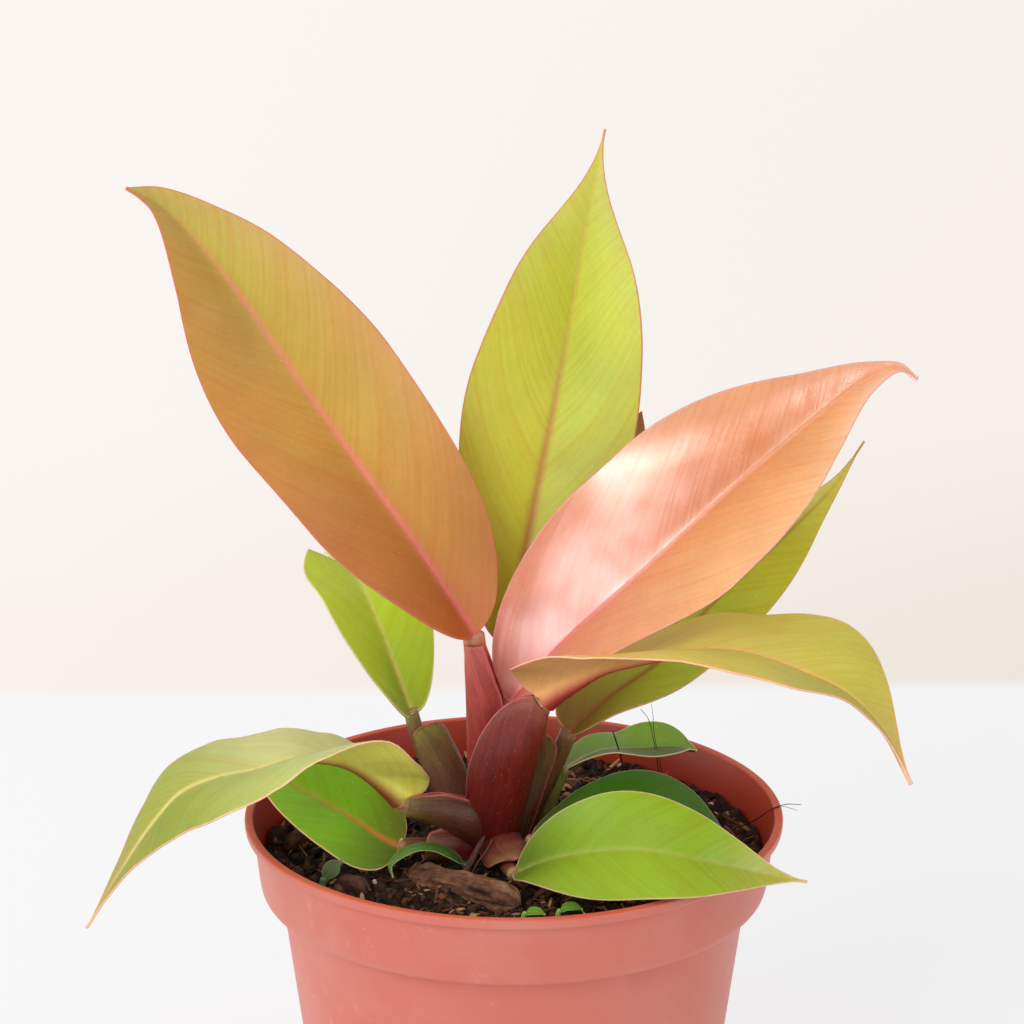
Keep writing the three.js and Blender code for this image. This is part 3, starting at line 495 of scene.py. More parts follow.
def make_object(name, points, faces, material, layers=None, smooth=True):
    """New mesh object from points in millimetres; layers are values or colours for each point."""
    mesh = bpy.data.meshes.new(name)
    mesh.from_pydata((np.asarray(points, float) * MM).tolist(), [], faces)
    for layer, values in (layers or {}).items():
        values = np.asarray(values, np.float32)
        if values.ndim == 1:
            mesh.attributes.new(layer, "FLOAT", "POINT").data.foreach_set("value", values)
        else:
            colours = np.ones((len(values), 4), np.float32)
            colours[:, :3] = values
            mesh.attributes.new(layer, "FLOAT_COLOR", "POINT").data.foreach_set("color", colours.ravel())
    mesh.polygons.foreach_set("use_smooth", [smooth] * len(mesh.polygons))
    mesh.materials.append(material)
    mesh.update()
    made = bpy.data.objects.new(name, mesh)
    bpy.context.scene.collection.objects.link(made)
    return made


def grid_faces(rows, columns, start=0, flip=False, wrap=False):
    """Four-sided faces of a grid of points, row by row."""
    i = np.arange(rows - 1)[:, None]
    j = np.arange(columns if wrap else columns - 1)[None, :]
    a = start + i * columns + j
    b = start + i * columns + (j + 1) % columns
    faces = np.stack([a, b, b + columns, a + columns], -1).reshape(-1, 4)
    return (faces[:, ::-1] if flip else faces).tolist()


def closed_tube(rings):
    """Points and faces of a tube through rings of points, with a fan over each end."""
    rows, sides = rings.shape[:2]
    points = np.concatenate([rings.reshape(-1, 3), rings[0].mean(0)[None], rings[-1].mean(0)[None]])
    faces = grid_faces(rows, sides, wrap=True)
    first, last = rows * sides, rows * sides + 1
    for j in range(sides):
        k = (j + 1) % sides
        faces += [[first, k, j], [last, first - sides + j, first - sides + k]]
    return points, faces


def with_ends(values):
    """Values for a closed tube's rings, repeated for its two end points."""
    return np.concatenate([values, values[:1], values[-1:]])


def spread(values, shape):
    """Values repeated over a grid of that shape and written as one list."""
    return np.broadcast_to(values, shape).reshape(-1)


def merged(pieces):
    """Points and faces of several pieces as those of one."""
    points, faces, count = [], [], 0
    for p, f in pieces:
        faces += [[i + count for i in face] for face in f]
        count += len(p)
        points.append(p)
    return np.concatenate(points), faces


def shell_faces(rows, columns):
    """Faces of a closed shell between an outer grid and an inner grid that follows it."""
    under = rows * columns
    faces = grid_faces(rows, columns) + grid_faces(rows, columns, under, flip=True)
    for i in range(rows - 1):
        a, b = i * columns, (i + 1) * columns
        faces.append([a, b, under + b, under + a])
        a, b = a + columns - 1, b + columns - 1
        faces.append([b, a, under + a, under + b])
    for j in range(columns - 1):
        faces.append([j + 1, j, under + j, under + j + 1])
        a = under - columns + j
        faces.append([a, a + 1, under + a + 1, under + a])
    return faces


# ---------------------------------------------------------------- materials
class Finish:
    """A material with one surface shader, and short ways to add nodes to it."""

    def __init__(self, name, **constants):
        self.material = bpy.data.materials.new(name)
        self.material.use_nodes = True
        self.nodes = self.material.node_tree.nodes
        self.links = self.material.node_tree.links
        self.surface = self.nodes["Principled BSDF"]
        for socket, value in constants.items():
            self.surface.inputs[socket.replace("_", " ")].default_value = value

    def put(self, socket, value):
        if isinstance(value, bpy.types.NodeSocket):
            self.links.new(value, socket)
        else:
            socket.default_value = value

    def finish(self, socket, value):
        self.put(self.surface.inputs[socket], value)

    def attribute(self, name, output="Fac"):
        node = self.nodes.new("ShaderNodeAttribute")
        node.attribute_name = name
        return node.outputs[output]

    def place(self, scale=(1, 1, 1)):
        """The point's own place in the model, stretched."""
        node = self.nodes.new("ShaderNodeMapping")
        node.inputs["Scale"].default_value = scale
        self.put(node.inputs["Vector"], self.nodes.new("ShaderNodeTexCoord").outputs["Object"])
        return node.outputs["Vector"]

    def joined(self, x, y, z=0.0):
        node = self.nodes.new("ShaderNodeCombineXYZ")
        for socket, value in zip(node.inputs, (x, y, z)):
            self.put(socket, value)
        return node.outputs["Vector"]

    def noise(self, scale, detail=2.0, roughness=0.5, vector=None):
        node = self.nodes.new("ShaderNodeTexNoise")
        node.inputs["Scale"].default_value = scale
        node.inputs["Detail"].default_value = detail
        node.inputs["Roughness"].default_value = roughness
        self.put(node.inputs["Vector"], vector or self.place())
        return node.outputs["Fac"]

    def dots(self, scale, radius):
        """1 inside small round dots that lie scattered, and 0 between them."""
        node = self.nodes.new("ShaderNodeTexVoronoi")
        node.inputs["Scale"].default_value = scale
        self.put(node.inputs["Vector"], self.place())
        return self.math("LESS_THAN", node.outputs["Distance"], radius)

    def math(self, operation, a, b=0.0):
        node = self.nodes.new("ShaderNodeMath")
        node.operation = operation
        self.put(node.inputs[0], a)
        self.put(node.inputs[1], b)
        return node.outputs["Value"]

    def times(self, a, b):
        return self.math("MULTIPLY", a, b)

    def span(self, value, low, high, to_low=0.0, to_high=1.0):
        """Value moved from one span to another and held inside it."""
        node = self.nodes.new("ShaderNodeMapRange")
        self.put(node.inputs["Value"], value)
        ends = {"From Min": low, "From Max": high, "To Min": to_low, "To Max": to_high}
        for socket, number in ends.items():
            node.inputs[socket].default_value = number
        return node.outputs["Result"]

    def mix(self, share, a, b, blend="MIX"):
        node = self.nodes.new("ShaderNodeMix")
        node.data_type = "RGBA"
        node.blend_type = blend
        self.put(node.inputs["Factor"], share)
        self.put(node.inputs[6], a)
        self.put(node.inputs[7], b)
        return node.outputs[2]

    def varied(self, shade, value, low, high, share, factor):
        """Colour that is multiplied by factor, up to that share, where value is high."""
        return self.mix(self.span(value, low, high, 0.0, share), shade, (*factor, 1), "MULTIPLY")

    def bump(self, height, distance, strength=1.0, normal=None):
        node = self.nodes.new("ShaderNodeBump")
        node.inputs["Strength"].default_value = strength
        node.inputs["Distance"].default_value = distance
        self.put(node.inputs["Height"], height)
        if normal is not None:
            self.put(node.inputs["Normal"], normal)
        return node.outputs["Normal"]


def leaf_material(name, gloss):
    """Skin of a leaf: the mesh's colour with streaks and faint veins along it, and a soft gloss."""
    m = Finish(name, IOR=1.45, Specular_IOR_Level=0.33, Subsurface_Weight=0.12, Subsurface_Scale=0.002,
               Subsurface_Radius=(1.0, 0.6, 0.2))
    vein = m.attribute("vein")
    waves = m.math("SINE", m.times(m.math("ADD", vein, m.times(m.noise(260), 0.9)), 2 * math.pi))
    fine = m.times(waves, m.span(m.noise(140, 3), 0.4, 0.65))
    streaks = m.noise(1.0, 4, 0.62, m.joined(m.times(vein, 0.3), m.times(m.attribute("across"), 0.035)))
    shade = m.varied(m.attribute("tint", "Color"), streaks, 0.42, 0.66, 0.8, (1.0, 0.82, 0.7))
    shade = m.varied(shade, m.noise(55, 4, 0.55), 0.38, 0.66, 1.0, (1.1, 1.08, 1.0))
    shade = m.varied(shade, m.noise(22, 3), 0.38, 0.62, 1.0, (0.95, 0.92, 0.86))
    shade = m.varied(shade, m.noise(800), 0.3, 0.7, 0.5, (0.9, 0.9, 0.88))
    shade = m.varied(shade, fine, -1, 1, 0.1, (1.5, 1.5, 1.3))
    shade = m.mix(m.times(m.dots(420, 0.06), 0.25), shade, rgba((232, 222, 196)))
    shade = m.mix(m.times(m.dots(95, 0.022), 0.5), shade, rgba((96, 72, 48)))
    m.finish("Base Color", shade)
    m.finish("Roughness", m.span(m.noise(120, 3), 0.3, 0.7, gloss - 0.04, gloss + 0.08))
    normal = m.bump(m.noise(110, 3), 0.00025, 0.3)
    normal = m.bump(streaks, 0.0002, 0.25, normal)
    m.finish("Normal", m.bump(fine, 0.00002, 0.2, normal))
    return m.material


def stalk_material(name):
    """Skin of stalks and sheaths: streaked lengthwise, with pale dots and a soft gloss."""
    m = Finish(name, IOR=1.45, Specular_IOR_Level=0.6, Subsurface_Weight=0.1, Subsurface_Scale=0.002,
               Subsurface_Radius=(1.0, 0.35, 0.2))
    flow = m.joined(m.attribute("around"), m.times(m.attribute("down"), 0.06))
    streaks = m.noise(2.2, 5, 0.68, flow)
    shade = m.varied(m.attribute("tint", "Color"), streaks, 0.45, 0.7, 0.7, (1.7, 1.9, 1.6))
    shade = m.varied(shade, m.noise(0.35, vector=flow), 0.35, 0.65, 0.7, (0.62, 0.46, 0.44))
    shade = m.varied(shade, m.noise(120, 3), 0.35, 0.7, 0.3, (0.78, 0.72, 0.66))
    shade = m.mix(m.times(m.dots(700, 0.12), 0.14), shade, (0.75, 0.5, 0.42, 1))
    shade = m.mix(m.times(m.dots(150, 0.022), 0.5), shade, (0.85, 0.78, 0.7, 1))
    m.finish("Base Color", shade)
    m.finish("Roughness", m.span(m.noise(200, 3), 0.3, 0.7, 0.24, 0.36))
    normal = m.bump(streaks, 0.00035, 0.6)
    m.finish("Normal", m.bump(m.noise(500, 3), 0.00006, 0.6, normal))
    return m.material


def pot_material(name):
    """Thin moulded plastic, terracotta red, with a dusty bloom, faint smudges and pale rubbed specks."""
    m = Finish(name, IOR=1.48, Subsurface_Weight=0.08, Subsurface_Scale=0.003,
               Subsurface_Radius=(1.0, 0.3, 0.15))
    dusty = rgba((222, 164, 152))
    outside = m.attribute("outside")
    shade = m.varied(m.attribute("tint", "Color"), m.noise(14, 3), 0.35, 0.65, 0.5, (1.06, 1.1, 1.12))
    bloom = m.times(m.span(m.noise(34, 5, 0.62), 0.44, 0.76, 0.02, 0.34), outside)
    shade = m.mix(bloom, shade, dusty)
    rubbed = m.times(m.span(m.noise(40, 3), 0.52, 0.66), outside)
    smudge = m.times(m.span(m.noise(330, 4, 0.7), 0.56, 0.7), rubbed)
    shade = m.mix(m.times(smudge, 0.4), shade, dusty)
    shade = m.mix(m.times(m.times(m.dots(260, 0.055), rubbed), 0.55), shade, rgba((236, 196, 188)))
    m.finish("Base Color", shade)
    m.finish("Roughness", m.math("ADD", m.span(m.noise(60, 4), 0.3, 0.7, 0.36, 0.46), m.times(bloom, 0.4)))
    normal = m.bump(m.noise(1, 3, vector=m.place((40, 40, 220))), 0.0001, 0.3)
    m.finish("Normal", m.bump(m.noise(1300, 3), 0.00002, 0.5, normal))
    return m.material


def earth_material(name):
    """Moist potting mix: near black with brown and rust coloured bits, tinted by the mesh."""
    m = Finish(name, IOR=1.4)
    shade = m.varied(m.attribute("tint", "Color"), m.noise(900, 5, 0.7), 0.4, 0.7, 0.8, (2.2, 1.9, 1.7))
    m.finish("Base Color", m.varied(shade, m.noise(420, 4), 0.35, 0.6, 0.8, (0.4, 0.36, 0.34)))
    m.finish("Roughness", m.span(m.noise(600, 3), 0.35, 0.65, 0.45, 0.95))
    m.finish("Normal", m.bump(m.noise(1500, 5, 0.7), 0.0004, 0.9))
    return m.material


def bark_material(name):
    """Weathered bark with furrows along it; the mesh gives the colours of ridge and furrow."""
    m = Finish(name, IOR=1.4)
    fibres = m.noise(2.6, 6, 0.74, m.joined(m.attribute("around"), m.times(m.attribute("down"), 0.12)))
    shade = m.varied(m.attribute("tint", "Color"), fibres, 0.36, 0.62, 1.0, (2.0, 1.9, 1.8))
    m.finish("Base Color", m.varied(shade, m.noise(700, 4), 0.35, 0.6, 0.7, (0.5, 0.42, 0.4)))
    m.finish("Roughness", m.span(fibres, 0.35, 0.65, 0.6, 0.9))
    m.finish("Normal", m.bump(m.noise(1600, 4), 0.0001, 0.7, m.bump(fibres, 0.0009)))
    return m.material


def bits_material(name, roughness):
    """Loose bits of wood, fibre and perlite; the mesh gives each its own colour."""
    m = Finish(name, IOR=1.4)
    grain = m.noise(1400, 4, 0.65)
    tint = m.attribute("tint", "Color")
    m.finish("Base Color", m.varied(tint, grain, 0.38, 0.66, 0.7, (0.45, 0.4, 0.36)))
    m.finish("Roughness", m.span(m.noise(800), 0.3, 0.7, roughness - 0.15, roughness + 0.1))
    m.finish("Normal", m.bump(m.noise(2600, 4), 0.00015, 0.8))
    return m.material


def place(piece, slot, *nodes):
    """Say what a piece rides on and hide the solids that it stands for; slot is not used."""
    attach(piece, "root")
    if nodes:
        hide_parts(*nodes)


# ---------------------------------------------------------------- leaves
BLADE_GRID = (140, 46)
SMALL_BLADE_GRID = (60, 20)
SMALL_BLADE_WIDTH = 10
FULL_DETAIL_WIDTH = 36
VEIN_SPACING = 0.62
VEINS_PER_PILLOW = 14
EDGE_LINE = 0.34
TIP_HALF = 0.22
SLOW_WAVE = dict(size=26, height=0.5)
QUICK_WAVE = dict(size=9, height=0.22)


def rib_frames(leaf, t):
    """Places along the rib with the outline there and the directions of the blade."""
    curve = spline(leaf["rib"], 200)
    length = arc_length(curve)
    low = t < WIDEST_AT
    widest, rest = leaf["widest"], 1 - leaf["widest"]
    r = np.where(low, t / WIDEST_AT, (t - WIDEST_AT) / (1 - WIDEST_AT))
    edge = np.where(low, bezier(r, 0, -leaf["lobe"], widest * 0.45, widest),
                    bezier(r, widest, widest + rest * 0.42, widest + rest * leaf["hip"], 1))
    rib = np.where(low, bezier(r, 0, widest * 0.15, widest * 0.45, widest), edge)
    share = np.where(low, bezier(r, 0, leaf["shoulder"], 1, 1), bezier(r, 1, 1, 0.06, 0))
    total = length[-1]
    at = lambda f: np.stack([np.interp(f * total, length, curve[:, k]) for k in range(3)], 1)
    middle = at(rib)
    along = unit(at(np.minimum(rib + 0.004, 1)) - at(np.maximum(rib - 0.004, 0)))
    level = unit(FRONT - (along @ FRONT)[:, None] * along)
    across = np.cross(along, level)
    turn = np.radians(eased(leaf["turn"], rib))[:, None]
    up = level * np.cos(turn) + across * np.sin(turn)
    return dict(rib=rib, edge=edge, share=share, total=total, middle=middle, along=along, up=up,
                right=np.cross(along, up))


def blade_grid(leaf, rows, columns):
    """Middle surface of a blade as a grid of points, with its measures at each point."""
    w = np.linspace(0, 1, rows + 1)
    f = rib_frames(leaf, w - 0.6 * np.sin(2 * np.pi * w) / (2 * np.pi))
    v = np.linspace(0, 1, columns // 2 + 1)
    v = v - 0.84 * np.sin(2 * np.pi * v) / (2 * np.pi)
    u = np.r_[-v[:0:-1], v]
    a, side = np.abs(u)[None, :], np.sign(u)[None, :]
    half = np.maximum(leaf["width"] / 2 * f["share"], TIP_HALF)[:, None]
    fold = np.radians(eased(leaf["fold"], f["rib"]))[:, None]
    cup = np.radians(eased(BLADE_CUP, f["rib"]))[:, None]
    rounding = np.minimum(1.1 / half, 0.5)
    soft = np.hypot(a, rounding) - rounding
    out = side * half * (np.sin(fold + cup * a) - np.sin(fold)) / cup
    rise = half * (np.cos(fold) - np.cos(fold + cup * soft)) / cup
    lag = ((f["rib"] - f["edge"]) * f["total"])[:, None]
    middle, along, right, up = (f[k][:, None, :] for k in ("middle", "along", "right", "up"))
    points = middle - along * (lag * a**2)[..., None] + right * out[..., None] + up * rise[..., None]
    d = a * half
    axis = f["rib"][:, None] * f["total"] - lag * a**2
    return points, dict(u=np.broadcast_to(u, d.shape), d=d, s=np.broadcast_to(f["rib"][:, None], d.shape),
                        axis=axis, half=np.broadcast_to(half, d.shape))


def detail_size(leaf):
    """Size of ribs, margins and waves, which small leaves have in proportion."""
    return min(leaf["width"] / FULL_DETAIL_WIDTH, 1)


def grid_normals(points):
    down = np.gradient(points, axis=0)
    over = np.gradient(points, axis=1)
    return unit(np.cross(over, down))


def half_colours(leaf, half, s, outer):
    """Colours of one half of the upper face, which may change towards its margin."""
    colours = leaf.get(half, leaf["left"])
    inside = eased(linear(colours), s)
    return inside + (eased(linear(leaf.get(half + "_outer", colours)), s) - inside) * outer


def blade_colours(leaf, g, under):
    """Colour at each point of one face of a blade."""
    size, s = detail_size(leaf), g["s"]
    if under:
        face, rib_width = eased(linear(leaf["under"]), s), 1.5 - 0.9 * s
    else:
        outer = (g["d"] / g["half"])[..., None] ** 2
        # The two halves hold painted shade as well as the leaf's own colour.
        left, right = (half_colours(leaf, half, s, outer) for half in ("left", "right"))
        side = step(-0.25, 0.25, g["u"])[..., None]
        face, rib_width = left * (1 - side) + right * side, 1.3 - 0.85 * s
    rib = eased(linear(leaf["under_rib" if under else "rib_colours"]), s)
    share = np.exp(-((g["d"] / (rib_width * size)) ** 2)) * step(1.0, 0.72, s)
    colour = face + (rib - face) * share[..., None]
    near_edge = step(EDGE_LINE * (0.4 + 0.6 * size), 0.1 * size, g["half"] - g["d"])
    return colour + (linear(leaf["edge"]) - colour) * (near_edge * 0.85)[..., None]


def waved(points, normal, g, size, seed):
    """Blade with soft waves that fade out towards its rib and its base."""
    waves = ((seed, SLOW_WAVE), (seed + 5, QUICK_WAVE))
    wave = sum(noise(points, w["size"], key) * w["height"] for key, w in waves)
    share = size * step(0.3, 1.0, np.abs(g["u"])) * step(0, 0.2, g["s"])
    return points + normal * (wave * share)[..., None]


def blade_faces(points, normal, g, vein, size):
    """Upper face with its groove, and lower face with its raised rib."""
    s, d = g["s"], g["d"]
    pillow = 0.02 * size * np.sin(2 * np.pi * vein / VEINS_PER_PILLOW)
    pillow = pillow * step(0, 5, d) * step(0, 3, g["half"] - d)
    groove = (0.08 + 0.1 * (1 - s)) * size * np.exp(-((d / (0.75 * size)) ** 2))
    base = np.exp(-s / 0.09)
    ridge = size * (1.3 * base + 1.05 * (1 - s) ** 1.3 + 0.12)
    ridge = ridge * np.exp(-((d / (size * (1.25 - 0.7 * s + 0.5 * base))) ** 2))
    thick = (0.36 + 0.34 * (1 - g["u"] ** 2)) * (0.5 + 0.5 * size)
    top = points + normal * (-0.08 - groove + pillow)[..., None]
    return top, points - normal * (0.08 + thick + ridge - pillow)[..., None]


def make_blade(name, leaf):
    points, g = blade_grid(leaf, *(BLADE_GRID if leaf["width"] > SMALL_BLADE_WIDTH else SMALL_BLADE_GRID))
    size = detail_size(leaf)
    normal = grid_normals(points)
    points = waved(points, normal, g, size, sum(map(ord, name)))
    vein = (g["axis"] - g["d"] - 0.03 * g["d"] ** 2) / VEIN_SPACING
    faces = blade_faces(points, normal, g, vein, size)
    layers = {
        "tint": np.concatenate([blade_colours(leaf, g, under).reshape(-1, 3) for under in (False, True)]),
        "vein": np.tile(vein.reshape(-1), 2),
        "across": np.tile(g["d"].reshape(-1), 2),
    }
    gloss = leaf["gloss"]
    if gloss not in skins:
        skins[gloss] = leaf_material(f"leaf_skin_{round(gloss * 100)}", gloss)
    blade = make_object(f"blade_{name}", np.concatenate([face.reshape(-1, 3) for face in faces]),
                        shell_faces(*points.shape[:2]), skins[gloss], layers)
    place(blade, leaf["slot"], f"leaf_{name}")


# ---------------------------------------------------------------- stalks
NO_EDGE = 9.0
SHEATH_EDGE = 0.35
STEM_COLOURS = [(110, 34, 30), (90, 26, 24), (60, 24, 20)]


def tube_frames(sections, per_segment):
    """Middle, half sizes and directions down a stalk, and the distance from its top."""
    table = np.asarray(sections, float)
    middle = spline(table[:, :3], per_segment)
    knots = np.linspace(0, 1, len(table))
    s = np.linspace(0, 1, len(middle))
    sizes = np.stack([np.interp(s, knots, table[:, k]) for k in (3, 4)], 1)
    for _ in range(per_segment):
        sizes[1:-1] = (sizes[:-2] + 2 * sizes[1:-1] + sizes[2:]) / 4
    along = unit(np.gradient(middle, axis=0))
    right = unit(np.cross(FRONT, along))
    near = np.cross(along, right)
    return dict(middle=middle, sizes=sizes, right=right, near=near, along=along,
                down=arc_length(middle), s=s)


def oval_rings(f, w, d, angle):
    """Rings of points round a stalk's middle line at half width w and half depth d."""
    return (f["middle"][:, None, :] + f["right"][:, None, :] * (w * np.cos(angle))[..., None]
            + f["near"][:, None, :] * (d * np.sin(angle))[..., None])


def rod(part, sides=40, per_segment=14):
    """Solid oval stalk with flat ends; points, faces and measures."""
    f = tube_frames(part["sections"], per_segment)
    angle = np.linspace(0, 2 * np.pi, sides, endpoint=False)
    w, d = (f["sizes"] * step(-0.6, 0.5, f["down"])[:, None]).T
    rings = oval_rings(f, w[:, None], d[:, None], angle)
    values = dict(around=angle * f["sizes"].mean(1)[:, None], down=f["down"][:, None], s=f["s"][:, None],
                  edge=NO_EDGE, inside=0.0)
    return *closed_tube(rings), {key: with_ends(spread(x, rings.shape[:2])) for key, x in values.items()}


def sheath(part, columns=56, per_segment=14):
    """Open sheath wall, thick at its back and thin at its two margins."""
    f = tube_frames(part["sections"], per_segment)
    start, end = np.radians(eased(part["arc"], f["s"])).T
    middle, half = (start + end) / 2, (end - start) / 2
    if part["round_top"]:
        r = np.clip(f["s"] / part["round_top"], 0, 1)
        half = half * np.sqrt(np.clip(1 - (1 - r) ** 2.2, 0.004, 1))
    v = np.linspace(-1, 1, columns + 1)
    v = v + 0.5 * np.sin(np.pi * v) / np.pi
    angle = middle[:, None] + half[:, None] * v
    w, d = f["sizes"].T[..., None]
    wall = SHEATH_EDGE + (part["wall"] - SHEATH_EDGE) * (1 - v**2)[None, :]
    radius = f["sizes"].mean(1)[:, None]
    edge = (1 - np.abs(v))[None, :] * half[:, None] * radius
    flare = 0.25 * np.exp(-((edge / 0.8) ** 2))
    walls = [oval_rings(f, w - inset, d - inset, angle) for inset in (-flare, wall - flare)]
    if part["round_top"]:
        edge = np.minimum(edge, f["down"][:, None])
    values = dict(around=angle * radius, down=f["down"][:, None], s=f["s"][:, None], edge=edge)
    measures = {key: np.tile(spread(x, angle.shape), 2) for key, x in values.items()}
    measures["inside"] = np.repeat([0.0, 1.0], angle.size)
    return np.concatenate([face.reshape(-1, 3) for face in walls]), shell_faces(*angle.shape), measures


def stalk_colours(colours, band, m):
    """Colour at each point of a rod or sheath, with pale joint, red margins and painted shade on a sheath's
    inner face.
    """
    # Painted shade: a sheath's inner face is painted 35 % darker.
    colour = eased(linear(colours), m["s"]) * (1 - 0.35 * m["inside"])[:, None]
    margin = step(0.75, 0.25, m["edge"])[:, None]
    colour = colour + (linear(SHEATH_MARGIN) - colour) * margin * 0.85
    if band:
        joint = (1 - step(band * 0.55, band, m["down"]))[:, None]
        colour = colour + (linear(JOINT_BAND) - colour) * joint * 0.6
    return colour


def make_stalk(name, stalk):
    built = [(rod if part["kind"] == "rod" else sheath)(part) for part in stalk["parts"]]
    tints = [stalk_colours(stalk["colours"], part.get("band"), made[2])
             for part, made in zip(stalk["parts"], built)]
    layers = {key: np.concatenate([made[2][key] for made in built]) for key in ("around", "down")}
    points, faces = merged([made[:2] for made in built])
    layers["tint"] = np.concatenate(tints)
    made = make_object(f"sheath_{name}", points, faces, skins["stalk"], layers)
    place(made, stalk["slot"], f"stalk_{name}")


def make_stem():
    points, faces, m = rod(dict(sections=STEM))
    layers = {"tint": eased(linear(STEM_COLOURS), m["s"]), "around": m["around"], "down": m["down"]}
    place(make_object("crown", points, faces, skins["stalk"], layers), "stalk_red", "stem")


# ---------------------------------------------------------------- pot
POT_SEGMENTS = 288
LIP_WIDTH = 1.9
CLAY_OUTSIDE = (206, 110, 93)
# Inner wall painted darker and redder: painted shade, with painted light shining through the thin plastic.
CLAY_INSIDE_SHADE_AND_GLOW = (182, 62, 38)
# Top edge of the lip painted a brighter orange red: painted light shining through the thin plastic.
CLAY_EDGE_PAINTED_GLOW = (214, 92, 62)
POT_FACE_LENGTH = 5
DRAIN_SIDES = 40
DRAIN_CUT = (-3, 4)


def rounded(profile, radii, steps=6):
    """Profile of straight runs with its corners rounded to the given radii."""
    p = np.asarray(profile, float)
    result = [p[0]]
    for k in range(1, len(p) - 1):
        before, after = unit(p[k - 1] - p[k]), unit(p[k + 1] - p[k])
        shorter = min(np.linalg.norm(p[k - 1] - p[k]), np.linalg.norm(p[k + 1] - p[k]))
        reach = min(radii[k], 0.45 * shorter)
        if reach <= 0:
            result.append(p[k])
            continue
        a, b = p[k] + before * reach, p[k] + after * reach
        for t in np.linspace(0, 1, steps + 1):
            result.append(a * (1 - t) ** 2 + 2 * p[k] * t * (1 - t) + b * t**2)
    result.append(p[-1])
    return np.array(result)


def pot_profile():
    """Outline of the pot's wall from its axis and back; radius, height and rounding of each corner."""
    inset = POT_WALL
    outline = [
        [0.01, 0, 0], [BASE_RADIUS, 0, 1.2], [WALL_TOP_RADIUS, SHOULDER_Z - 1, 0.8],
        [COLLAR_LOW_RADIUS, SHOULDER_Z, 2], [CREASE_RADIUS, CREASE_Z, 0.35],
        [COLLAR_HIGH_RADIUS, POT_HEIGHT - LIP_DEPTH - 0.4, 0.5],
        [LIP_RADIUS - 0.2, POT_HEIGHT - LIP_DEPTH, 0.8], [LIP_RADIUS, POT_HEIGHT, 0.9],
        [LIP_RADIUS - LIP_WIDTH, POT_HEIGHT, 0.5],
        [COLLAR_HIGH_RADIUS - inset, POT_HEIGHT - 2 * LIP_DEPTH, 2], [CREASE_RADIUS - inset, CREASE_Z, 0.4],
        [COLLAR_LOW_RADIUS - inset, SHOULDER_Z + inset, 1],
        [WALL_TOP_RADIUS - inset, SHOULDER_Z - 1 + inset, 0.8],
        [BASE_RADIUS - inset, inset, 1], [0.01, inset, 0],
    ]
    return rounded([row[:2] for row in outline], [row[2] for row in outline])


def lathe(profile, segments):
    """Closed turned body through a profile of radius and height, with flat ends."""
    angle = np.linspace(0, 2 * np.pi, segments, endpoint=False)
    r, z = profile[:, 0][:, None], profile[:, 1][:, None]
    heights = np.broadcast_to(z, (len(profile), segments))
    points = np.stack([r * np.cos(angle), r * np.sin(angle), heights], -1)
    faces = grid_faces(len(profile), segments, wrap=True)
    last = (len(profile) - 1) * segments
    faces += [list(range(segments))[::-1], list(range(last, last + segments))]
    return points.reshape(-1, 3), faces


def densified(profile, longest):
    """Profile with its long runs divided, so that its faces stay near square."""
    result = [profile[0]]
    for a, b in zip(profile[:-1], profile[1:]):
        count = max(1, int(math.ceil(np.linalg.norm(b - a) / longest)))
        result += [a + (b - a) * k / count for k in range(1, count + 1)]
    return np.array(result)


def drain_cutter():
    """Rods that stand where the drain holes go, as one object."""
    points, faces = lathe(np.array([[DRAIN_RADIUS, z] for z in DRAIN_CUT], float), DRAIN_SIDES)
    turns = 2 * np.pi * np.arange(DRAIN_COUNT) / DRAIN_COUNT
    centres = DRAIN_CIRCLE * np.stack([np.cos(turns), np.sin(turns), 0 * turns], -1)
    points, faces = merged([(points + centre, faces) for centre in centres])
    layers = {"tint": np.tile(linear(CLAY_OUTSIDE), (len(points), 1)), "outside": np.zeros(len(points))}
    return make_object("drain_cutter", points, faces, skins["pot"], layers)


def cut_away(piece, cutter):
    """Take the cutter out of the piece's mesh and remove the cutter."""
    cut = piece.modifiers.new("cut", "BOOLEAN")
    cut.operation = "DIFFERENCE"
    cut.object = cutter
    cut.solver = "EXACT"
    graph = bpy.context.evaluated_depsgraph_get()
    mesh = bpy.data.meshes.new_from_object(piece.evaluated_get(graph))
    piece.modifiers.clear()
    piece.data = mesh
    bpy.data.objects.remove(cutter)


def make_pot():
    profile = densified(pot_profile()[1:-1], POT_FACE_LENGTH)
    points, faces = lathe(profile, POT_SEGMENTS)
    row = np.arange(len(points)) // POT_SEGMENTS
    top = np.argmax(profile[:, 1] - 0.01 * np.arange(len(profile)))
    # inner: the inside of the wall, which gets the painted shade and through-light.
    inner = step(top + 2, top + 5, row)
    # edge: the lip's top, where the painted glow goes.
    edge = step(POT_HEIGHT - 0.6, POT_HEIGHT - 0.1, points[:, 2])[:, None]
    tint = linear(CLAY_OUTSIDE) + (linear(CLAY_INSIDE_SHADE_AND_GLOW) - linear(CLAY_OUTSIDE)) * inner[:, None]
    tint = tint + (linear(CLAY_EDGE_PAINTED_GLOW) - tint) * edge
    pot = make_object("nursery_pot", points, faces, skins["pot"], {"tint": tint, "outside": 1 - inner})
    cut_away(pot, drain_cutter())
    place(pot, "pot_plastic", "pot")


# ---------------------------------------------------------------- soil and what lies in it
SOIL_GRID = 290
LOOSE_RADIUS = SOIL_RADIUS - 1.5
SOIL_DARK = (54, 34, 27)
SOIL_BROWN = (118, 74, 50)
